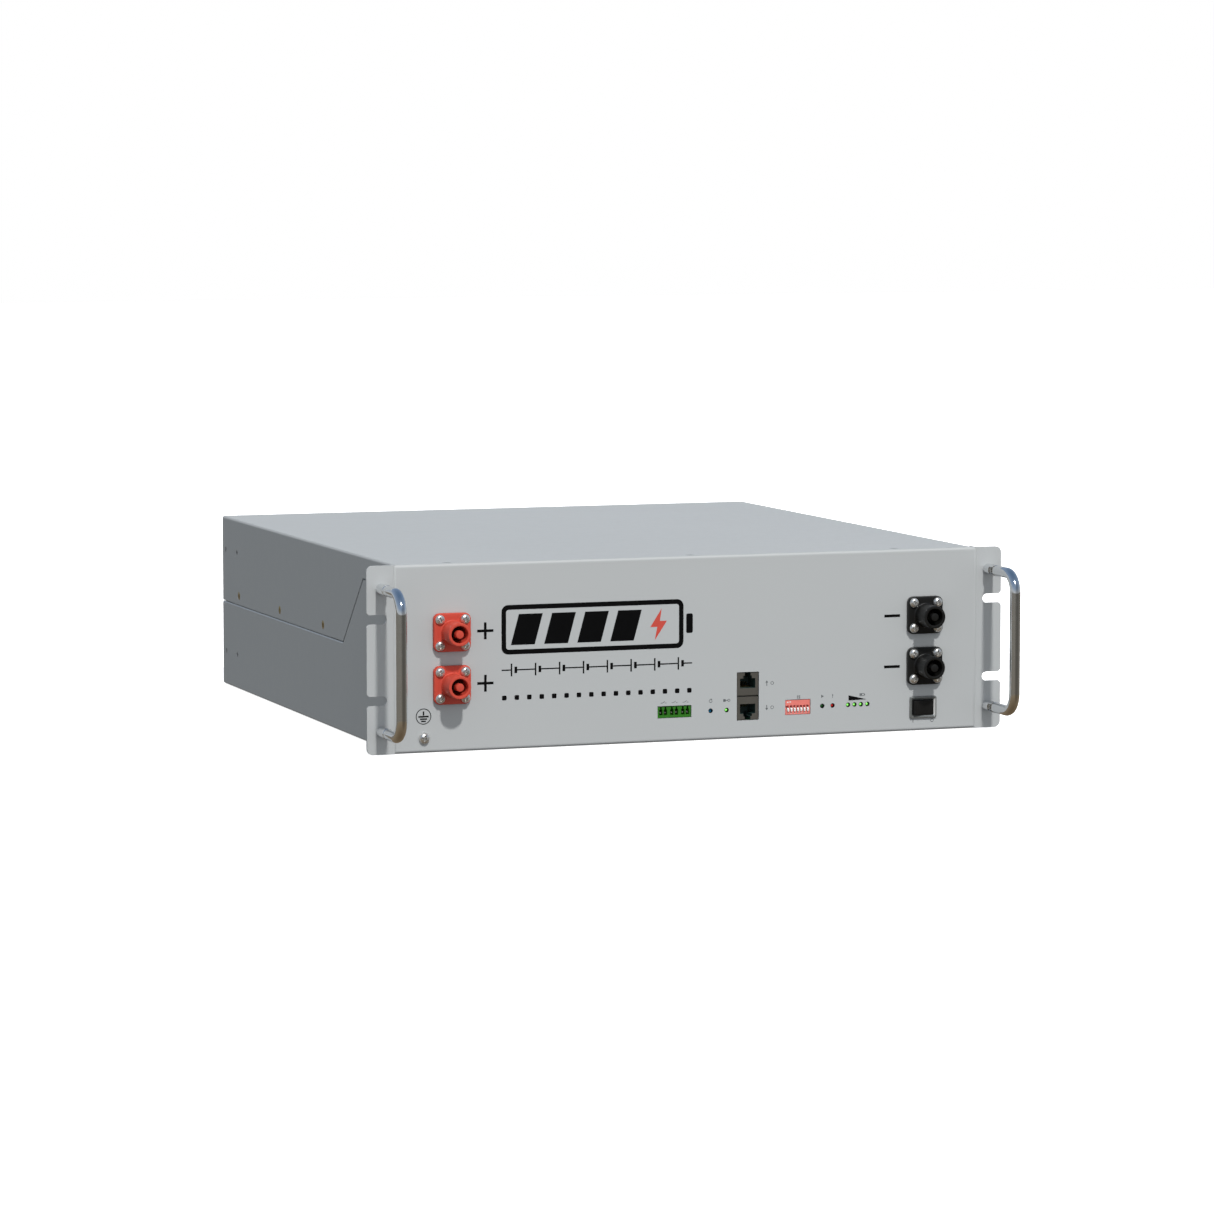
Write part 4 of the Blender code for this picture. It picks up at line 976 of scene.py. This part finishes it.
def build_indicator(name, columns, material, slot):
    low, high = span(name)
    radius, tip = 1.35, low.y + 0.4
    made = None
    for x in columns:
        hole_sleeve(f"{name}_sleeve_{round(x)}", x)
        dome = [(radius * math.sin(math.radians(t)), tip + radius * (1 - math.cos(math.radians(t))))
                for t in range(0, 91, 9)]
        mesh = bmesh.new()
        lathe(mesh, dome + [(radius, 6.2), (0.0, 6.2)], (x, ROW_Z), 32)
        if made is None:
            made = place(stand_in(name), mesh)
        else:
            carve(made, mesh, "UNION")
    holder = bmesh.new()
    box(holder, (columns[0] - 1.9, columns[-1] + 1.9), (5.0, 9.0), (low.z, ROW_Z + 2.0))
    carve(made, holder, "UNION")
    finish_piece(made, material, "case", angle=40.0, stands_for=[name], slot=slot)


def build_power_switch():
    x, z = SWITCH.x, SWITCH.z
    low, high = span("power_switch_body")
    rings = []
    edge = 0.7
    for i in range(6):
        a = math.radians(18.0 * i)
        shrink = edge * (1 - math.sin(a))
        rings.append([(u, low.y + edge * (1 - math.cos(a)), v) for u, v in
                      rounded_rectangle(x, z, high.x - low.x - 2 * shrink, high.z - low.z - 2 * shrink,
                                        1.6 - shrink * 0.9, 6)])
    rings.append([(u, -GAP, v) for u, v in rounded_rectangle(x, z, high.x - low.x, high.z - low.z, 1.6, 6)])
    mesh = bmesh.new()
    loft(mesh, rings)
    bezel = place(stand_in("power_switch_body"), mesh)
    rear = bmesh.new()
    prism(rear, rectangle(x, z, high.x - low.x - 2.2, high.z - low.z - 2.2), "Y", -1.0, high.y)
    carve(bezel, rear, "UNION")
    well = bmesh.new()
    loft(well, [[(u, y, v) for u, v in rounded_rectangle(x, z, width, height, 0.5, 4)]
                for y, width, height in ((low.y - 0.3, 19.4, 14.4), (low.y + 1.1, 16.8, 11.2), (6.0, 16.8, 11.2))])
    carve(bezel, well)
    finish_piece(bezel, satin_nickel(), "case", stands_for=["power_switch_body"], slot="switch_plastic")
    # The right inner wall of the switch's well gets a bright paint: a painted reflection of the bright horizon.
    bezel.data.materials.append(look("switch_painted_reflection", (222, 223, 222), 0.3, patches=(200.0, 0.04),
                                     grain=(1800.0, 0.02)))
    for face in bezel.data.polygons:
        if -0.9 < face.normal.x < -0.5 and abs(face.normal.z) < 0.1 and face.center.x > (x + 8.0) * MM:
            face.material_index = 1

    pivot_y, tilt = 0.5, math.radians(8.0)
    reach, end_y, front_mid, rear_y = 8.15, 3.3, 2.1, 3.0
    front_angle = math.degrees(math.asin(end_y / reach))
    rear_angle = math.degrees(math.asin(rear_y / reach))
    outline = arc(0.0, 0.0, reach, rear_angle, -front_angle, 10)
    ends = outline[-1][0]
    outline += [(ends * (1 - i / 8), -end_y + (end_y - front_mid) * math.sin(math.pi / 2 * i / 8)) for i in range(1, 8)]
    outline += [(0.0, -front_mid)]
    outline += [(-ends * i / 8, -end_y + (end_y - front_mid) * math.sin(math.pi / 2 * (1 - i / 8)))
                for i in range(1, 8)]
    outline += arc(0.0, 0.0, reach, 180.0 + front_angle, 180.0 - rear_angle, 10)
    turned = [(u * math.cos(tilt) - v * math.sin(tilt), u * math.sin(tilt) + v * math.cos(tilt)) for u, v in outline]
    rocker = bmesh.new()
    prism(rocker, [(x + u, pivot_y + v) for u, v in turned], "Z", z - 5.2, z + 5.2)
    piece(stand_in("power_rocker"), rocker, black_plastic(), body="power_rocker", edge=0.35, angle=30.0,
          stands_for=["power_rocker"], slot="black_plastic")


# Printed marks


def mark(name, outlines, material, rings=()):
    """Flat ink shapes on the front panel. Each ring is (x, z, inner radius, outer radius, start, end)."""
    mesh = bmesh.new()
    for outline in outlines:
        prism(mesh, outline, "Y", -PRINT, 0.02)
    for x, z, inner, outer, start, end in rings:
        steps = max(12, int(abs(end - start) / 6))
        if abs(end - start) >= 360.0:
            loops = [circle(x, z, r, steps) for r in (outer, inner)]
            rows = [[(u, y, v) for u, v in loop] for y, loop in
                    ((-PRINT, loops[0]), (0.02, loops[0]), (0.02, loops[1]), (-PRINT, loops[1]), (-PRINT, loops[0]))]
            loft(mesh, rows, closed_ends=False)
        else:
            outline = arc(x, z, outer, start, end, steps) + arc(x, z, inner, end, start, steps)
            prism(mesh, outline, "Y", -PRINT, 0.02)
    bmesh.ops.remove_doubles(mesh, verts=mesh.verts, dist=0.0005)
    return piece(name, mesh, material)


def bar(x, z, width, height):
    return rectangle(x, z, width, height)


def line(start, end, width):
    """A straight stroke between two points."""
    a, b = Vector(start), Vector(end)
    side = (b - a).normalized().orthogonal() * width / 2
    return [tuple(a + side), tuple(b + side), tuple(b - side), tuple(a - side)]


def build_pole_marks():
    for level in ("upper", "lower"):
        at = centre(f"positive_{level}_receptacle")
        x, z = at.x + 25.1, at.z
        mark(f"positive_{level}_mark", [bar(x, z, 12.0, 1.9), bar(x, z + 3.4, 1.9, 5.1), bar(x, z - 3.4, 1.9, 5.1)],
             print_black())
        at = centre(f"negative_{level}_receptacle")
        mark(f"negative_{level}_mark", [bar(at.x - 24.9, at.z, 12.3, 2.0)], print_black())


def build_ground_mark():
    x, z = GROUND.x - 0.4, GROUND.z + 15.4
    bars = [bar(x, z + 2.2, 1.1, 3.0), bar(x, z - 0.1, 7.6, 1.1), bar(x, z - 1.8, 5.2, 1.0), bar(x, z - 3.4, 3.4, 1.0)]
    mark("ground_mark", bars, print_black(), rings=[(x, z, 5.05, 5.65, 0.0, 360.0)])


def build_emblem():
    """A plain pictogram of a battery, a row of cell signs and a rule, where the panel carries its large print."""
    left, right, low, high, stroke = -142.5, -6.0, 67.0, 102.0, 3.4
    middle = (low + high) / 2
    outer = rounded_rectangle((left + right) / 2, middle, right - left, high - low, 5.0, 8)
    inner = rounded_rectangle((left + right) / 2, middle, right - left - 2 * stroke, high - low - 2 * stroke, 2.0, 8)
    mesh = bmesh.new()
    rows = [[(u, y, v) for u, v in ring] for y, ring in
            ((-PRINT, outer), (0.02, outer), (0.02, inner), (-PRINT, inner), (-PRINT, outer))]
    loft(mesh, rows, closed_ends=False)
    prism(mesh, rounded_rectangle(right + 4.6, middle, 5.0, 14.0, 1.2, 4), "Y", -PRINT, 0.02)
    bmesh.ops.remove_doubles(mesh, verts=mesh.verts, dist=0.0005)
    count, pitch = 5, (right - left - 2 * stroke - 6.0) / 5
    for i in range(count - 1):
        at = left + stroke + 3.0 + pitch * (i + 0.5)
        lean = 3.0
        width, half = pitch - 7.0, (high - low) / 2 - stroke - 3.2
        prism(mesh, [(at - width / 2 - lean, middle - half), (at + width / 2 - lean, middle - half),
                     (at + width / 2 + lean, middle + half), (at - width / 2 + lean, middle + half)],
              "Y", -PRINT, 0.02)
    piece("battery_emblem", mesh, print_black())
    at = left + stroke + 3.0 + pitch * (count - 0.5)
    bolt = [(at + u, middle + v) for u, v in
            ((2.2, 11.3), (-6.4, -1.8), (-1.1, -1.8), (-3.0, -11.3), (6.2, 2.4), (0.9, 2.4))]
    accent = bmesh.new()
    prism(accent, bolt, "Y", -PRINT, 0.02)
    piece("battery_emblem_accent", accent, print_coral())

    z, outlines = 56.0, []
    cells, cell_pitch = 8, 17.9
    for i in range(cells):
        x = left + cell_pitch * (i + 0.5)
        outlines += [bar(x - 1.6, z, 1.1, 9.0), bar(x + 1.6, z, 2.0, 4.6)]
        outlines += [bar(x - 5.55, z, 6.8, 0.9), bar(x + 5.75, z, 6.3, 0.9)]
    mark("cell_row_print", outlines, print_black())
    squares = [rounded_rectangle(left + 2.0 + i * 9.27, 36.4, 3.4, 3.4, 0.7, 3) for i in range(16)]
    mark("cell_count_print", squares, print_black())


def build_small_marks():
    grey = print_grey()
    label_z = ROW_Z + 7.0
    x = centre("reset_button").x
    mark("reset_mark", [[(x + 0.1, label_z + 1.9), (x + 0.1, label_z + 0.3), (x + 1.3, label_z + 1.1)]], grey,
         rings=[(x, label_z, 0.9, 1.3, 90.0, 380.0)])
    x = centre("mode_indicator").x
    mark("mode_mark", [bar(x - 1.7, label_z, 1.9, 1.9), bar(x, label_z, 1.5, 0.4)], grey,
         rings=[(x + 1.7, label_z, 0.65, 1.05, 0.0, 360.0)])
    outlines = []
    for pair in (-1, 0, 1):
        x = HEADER.x + pair * 8.35
        outlines += [line((x - 2.2, label_z), (x - 0.9, label_z), 0.35),
                     line((x - 0.9, label_z), (x + 0.9, label_z + 1.1), 0.35),
                     line((x + 1.0, label_z), (x + 2.2, label_z), 0.35)]
    mark("dry_contact_mark", outlines, grey)
    for name, z, sense in (("upper_port_mark", JACK.z + 8.8, 1), ("lower_port_mark", JACK.z - 8.8, -1)):
        x = JACK.x + 14.5
        mark(name, [bar(x, z - sense * 0.6, 0.5, 2.6),
                    [(x - 1.1, z + sense * 0.4), (x + 1.1, z + sense * 0.4), (x, z + sense * 2.0)]], grey,
             rings=[(x + 4.2, z, 0.9, 1.25, 0.0, 360.0)])
    x = DIP.x + 0.5
    mark("address_mark", [bar(x - 0.7, label_z + 0.2, 0.35, 2.4), bar(x + 0.7, label_z + 0.2, 0.35, 2.4),
                          bar(x, label_z + 0.9, 2.8, 0.35), bar(x, label_z - 0.5, 2.8, 0.35)], grey)
    x = centre("run_indicator").x
    mark("run_mark", [[(x - 0.9, label_z - 1.1), (x + 1.2, label_z), (x - 0.9, label_z + 1.1)]], grey)
    x = centre("alarm_indicator").x
    mark("alarm_mark", [bar(x, label_z + 0.45, 0.55, 1.6), bar(x, label_z - 1.0, 0.55, 0.55)], grey)
    low_x, high_x = CHARGE_X[0] + 0.3, CHARGE_X[-1] - 0.7
    mark("charge_wedge", [[(low_x, ROW_Z + 3.1), (high_x, ROW_Z + 3.5), (low_x, ROW_Z + 6.9)]], print_black())
    x = CHARGE_X[-1] - 4.3
    mark("charge_mark", [bar(x - 1.7, label_z, 0.35, 1.9), bar(x + 1.7, label_z, 0.35, 1.9),
                         bar(x, label_z + 0.8, 3.4, 0.35), bar(x, label_z - 0.8, 3.4, 0.35),
                         bar(x + 2.15, label_z, 0.5, 0.9), bar(x - 0.6, label_z, 1.3, 0.9)], grey)
    z = SWITCH.z - 9.9
    mark("switch_on_mark", [bar(SWITCH.x - 7.6, z, 0.45, 2.3)], grey)
    mark("switch_off_mark", [], grey, rings=[(SWITCH.x + 7.4, z, 0.85, 1.25, 0.0, 360.0)])


# CAD nodes that are shown as they are


def dress_inner_nodes():
    """Materials of the parts inside the case, which keep their CAD shape."""
    laminate = look("board_laminate", (24, 88, 54), 0.42, patches=(60.0, 0.1), grain=(1500.0, 0.05))
    wrap = look("cell_wrap", (34, 86, 150), 0.3, patches=(20.0, 0.06), grain=(700.0, 0.03))
    copper = look("copper", (198, 122, 84), 0.28, 1.0, patches=(40.0, 0.1), grain=(1500.0, 0.04),
                  stretch=(1.0, 1.0, 8.0))
    plate = look("contact_plate", (216, 210, 192), 0.5, patches=(15.0, 0.04), grain=(900.0, 0.06))
    red_cable = look("red_cable", (168, 38, 30), 0.5, patches=(60.0, 0.05), grain=(1200.0, 0.05))
    black_cable = look("black_cable", (24, 24, 25), 0.5, patches=(60.0, 0.1), grain=(1200.0, 0.05))
    looks = {"interface_board": laminate, "bms_board": laminate, "cell_contact_board": plate,
             "positive_terminal_bar": copper, "negative_terminal_bar": copper, "positive_cable": red_cable,
             "negative_cable": black_cable}
    looks.update({f"cell_{i:02d}": wrap for i in range(1, 17)})
    for name, material in looks.items():
        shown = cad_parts[name]
        shown.data.materials.clear()
        shown.data.materials.append(material)


# Stage


def build_world():
    """White to the camera, a clear sky over dull ground to shiny surfaces, and a soft bluish fill to the rest."""
    world = bpy.data.worlds.new("studio")
    bpy.context.scene.world = world
    world.use_nodes = True
    tree = world.node_tree
    tree.nodes.clear()
    towards = node(tree, "ShaderNodeTexCoord").outputs["Generated"]
    parts = node(tree, "ShaderNodeSeparateXYZ")
    tree.links.new(towards, parts.inputs[0])

    height = node(tree, "ShaderNodeMapRange")
    height.inputs["From Min"].default_value = -1.0
    height.inputs["From Max"].default_value = 1.0
    tree.links.new(parts.outputs["Z"], height.inputs["Value"])
    sky = node(tree, "ShaderNodeValToRGB")
    stops = SKY_STOPS
    ramp = sky.color_ramp
    while len(ramp.elements) < len(stops):
        ramp.elements.new(0.5)
    for element, (z, rgb) in zip(ramp.elements, stops):
        element.position = (z + 1.0) / 2.0
        element.color = colour(rgb)
    tree.links.new(height.outputs["Result"], sky.inputs["Fac"])

    def scaled(rgb, value):
        made = node(tree, "ShaderNodeVectorMath", operation="SCALE")
        made.inputs[0].default_value = rgb
        tree.links.new(value, made.inputs["Scale"])
        return made.outputs[0]

    def added(one, two):
        made = node(tree, "ShaderNodeVectorMath", operation="ADD")
        tree.links.new(one, made.inputs[0])
        tree.links.new(two, made.inputs[1])
        return made.outputs[0]

    even = node(tree, "ShaderNodeCombineXYZ")
    for name, value in zip("XYZ", FILL_EVEN):
        even.inputs[name].default_value = value
    fill = added(added(even.outputs[0], scaled(FILL_Y, parts.outputs["Y"])), scaled(FILL_Z, parts.outputs["Z"]))
    ground = node(tree, "ShaderNodeMapRange", interpolation_type="SMOOTHSTEP")
    ground.inputs["From Min"].default_value = GROUND_BAND[0]
    ground.inputs["From Max"].default_value = GROUND_BAND[1]
    ground.inputs["To Min"].default_value = GROUND_LEVEL
    tree.links.new(parts.outputs["Z"], ground.inputs["Value"])
    dimmed = node(tree, "ShaderNodeVectorMath", operation="SCALE")
    tree.links.new(fill, dimmed.inputs[0])
    tree.links.new(ground.outputs["Result"], dimmed.inputs["Scale"])
    fill = dimmed.outputs[0]

    beside = node(tree, "ShaderNodeVectorMath", operation="DOT_PRODUCT")
    beside.inputs[1].default_value = SHADY_SIDE
    tree.links.new(towards, beside.inputs[0])
    shade = node(tree, "ShaderNodeMapRange", interpolation_type="SMOOTHSTEP")
    shade.inputs["From Min"].default_value = 0.55
    shade.inputs["To Min"].default_value = 1.0
    shade.inputs["To Max"].default_value = SHADY_LEVEL
    tree.links.new(beside.outputs["Value"], shade.inputs["Value"])

    path = node(tree, "ShaderNodeLightPath")
    shiny = node(tree, "ShaderNodeMix", data_type="RGBA")
    tree.links.new(path.outputs["Is Glossy Ray"], shiny.inputs[0])
    tree.links.new(fill, shiny.inputs[6])
    shaded = node(tree, "ShaderNodeVectorMath", operation="SCALE")
    tree.links.new(sky.outputs["Color"], shaded.inputs[0])
    tree.links.new(shade.outputs["Result"], shaded.inputs["Scale"])
    tree.links.new(shaded.outputs[0], shiny.inputs[7])
    seen = node(tree, "ShaderNodeMix", data_type="RGBA")
    seen.inputs[7].default_value = (1.0, 1.0, 1.0, 1.0)
    tree.links.new(path.outputs["Is Camera Ray"], seen.inputs[0])
    tree.links.new(shiny.outputs[2], seen.inputs[6])
    back = node(tree, "ShaderNodeBackground")
    tree.links.new(seen.outputs[2], back.inputs["Color"])
    out = node(tree, "ShaderNodeOutputWorld")
    tree.links.new(back.outputs[0], out.inputs["Surface"])


SKY_STOPS = [(-1.0, (104, 88, 68)), (-0.26, (134, 120, 100)), (-0.14, (124, 119, 110)), (-0.001, (120, 118, 112)),
             (0.0, (200, 202, 204)), (0.08, (184, 190, 195)), (0.35, (138, 156, 180)), (1.0, (92, 116, 146))]
SHADY_SIDE = (0.45, -0.89, 0.0)
SHADY_LEVEL = 0.5
GROUND_BAND = (-0.7, -0.1)
GROUND_LEVEL = 0.12
FILL_EVEN = (0.43, 0.457, 0.486)
FILL_Y = (-0.185, -0.175, -0.16)
FILL_Z = (-0.02, -0.035, -0.05)
SUN_STRENGTH = 2.38
SUN_TRAVEL = (0.0, 0.65, -0.76)
BACK_STRENGTH = 1.2
BACK_TRAVEL = (-0.42, -0.87, -0.22)


def build_light(name, travel, strength, size, tint):
    data = bpy.data.lights.new(name, "SUN")
    data.energy = strength
    data.angle = math.radians(size)
    data.color = tint
    made = bpy.data.objects.new(name, data)
    made.rotation_euler = Vector(travel).to_track_quat("-Z", "Y").to_euler()
    bpy.context.scene.collection.objects.link(made)
    return made


def build_stage():
    build_world()
    build_light("key", SUN_TRAVEL, SUN_STRENGTH, 3.0, (1.0, 0.985, 0.96))
    back = build_light("back", BACK_TRAVEL, BACK_STRENGTH, 12.0, (1.0, 1.0, 1.0))
    back.visible_glossy = False
    mesh = bmesh.new()
    box(mesh, (-6000.0, 6000.0), (-6000.0, 9000.0), (-3.0, -0.4))
    floor = place("floor", mesh)
    white = look("floor_white", (250, 250, 250), 0.9, patches=(1.5, 0.004), grain=(120.0, 0.02), specular=0.0,
                 glow=0.85)
    floor.data.materials.append(white)
    floor.visible_diffuse = False
    floor.visible_glossy = False


def build_camera():
    data = bpy.data.cameras.new("camera")
    data.lens = 140.0
    data.sensor_width = 36.0
    data.clip_end = 50.0
    made = bpy.data.objects.new("camera", data)
    made.location = Vector((-1184.06, -3128.88, 427.58)) * MM + FRONT
    made.rotation_euler = (math.radians(90.0 - 5.661), 0.0, math.radians(-19.699))
    bpy.context.scene.collection.objects.link(made)
    bpy.context.scene.camera = made


def build():
    bpy.context.scene.view_settings.view_transform = "Standard"
    build_tray()
    build_cover()
    build_panel()
    for word, side in SIDES:
        build_ear(f"{word}_ear", side)
        build_handle(word, side)
        for level, z in zip(LEVELS, LEGS_Z):
            build_post(word, side, level, z)
    build_case_screws()
    for name in RECEPTACLES:
        build_receptacle(name)
    build_jack()
    build_header()
    build_address_switch()
    build_reset_button()
    green = lens("green_lens", (14, 70, 10), (140, 235, 105), 0.75)
    build_indicator("mode_indicator", [centre("mode_indicator").x], green, "green_lens")
    build_indicator("charge_level_indicator", CHARGE_X, green, "green_lens")
    build_indicator("run_indicator", [centre("run_indicator").x],
                    lens("dark_green_lens", (8, 26, 10), (30, 84, 36), 0.15), "dark_green_lens")
    build_indicator("alarm_indicator", [centre("alarm_indicator").x],
                    lens("red_lens", (60, 8, 8), (176, 34, 30), 0.5), "red_lens")
    build_power_switch()
    build_pole_marks()
    build_ground_mark()
    build_emblem()
    build_small_marks()
    dress_inner_nodes()
    build_stage()
    build_camera()


build()
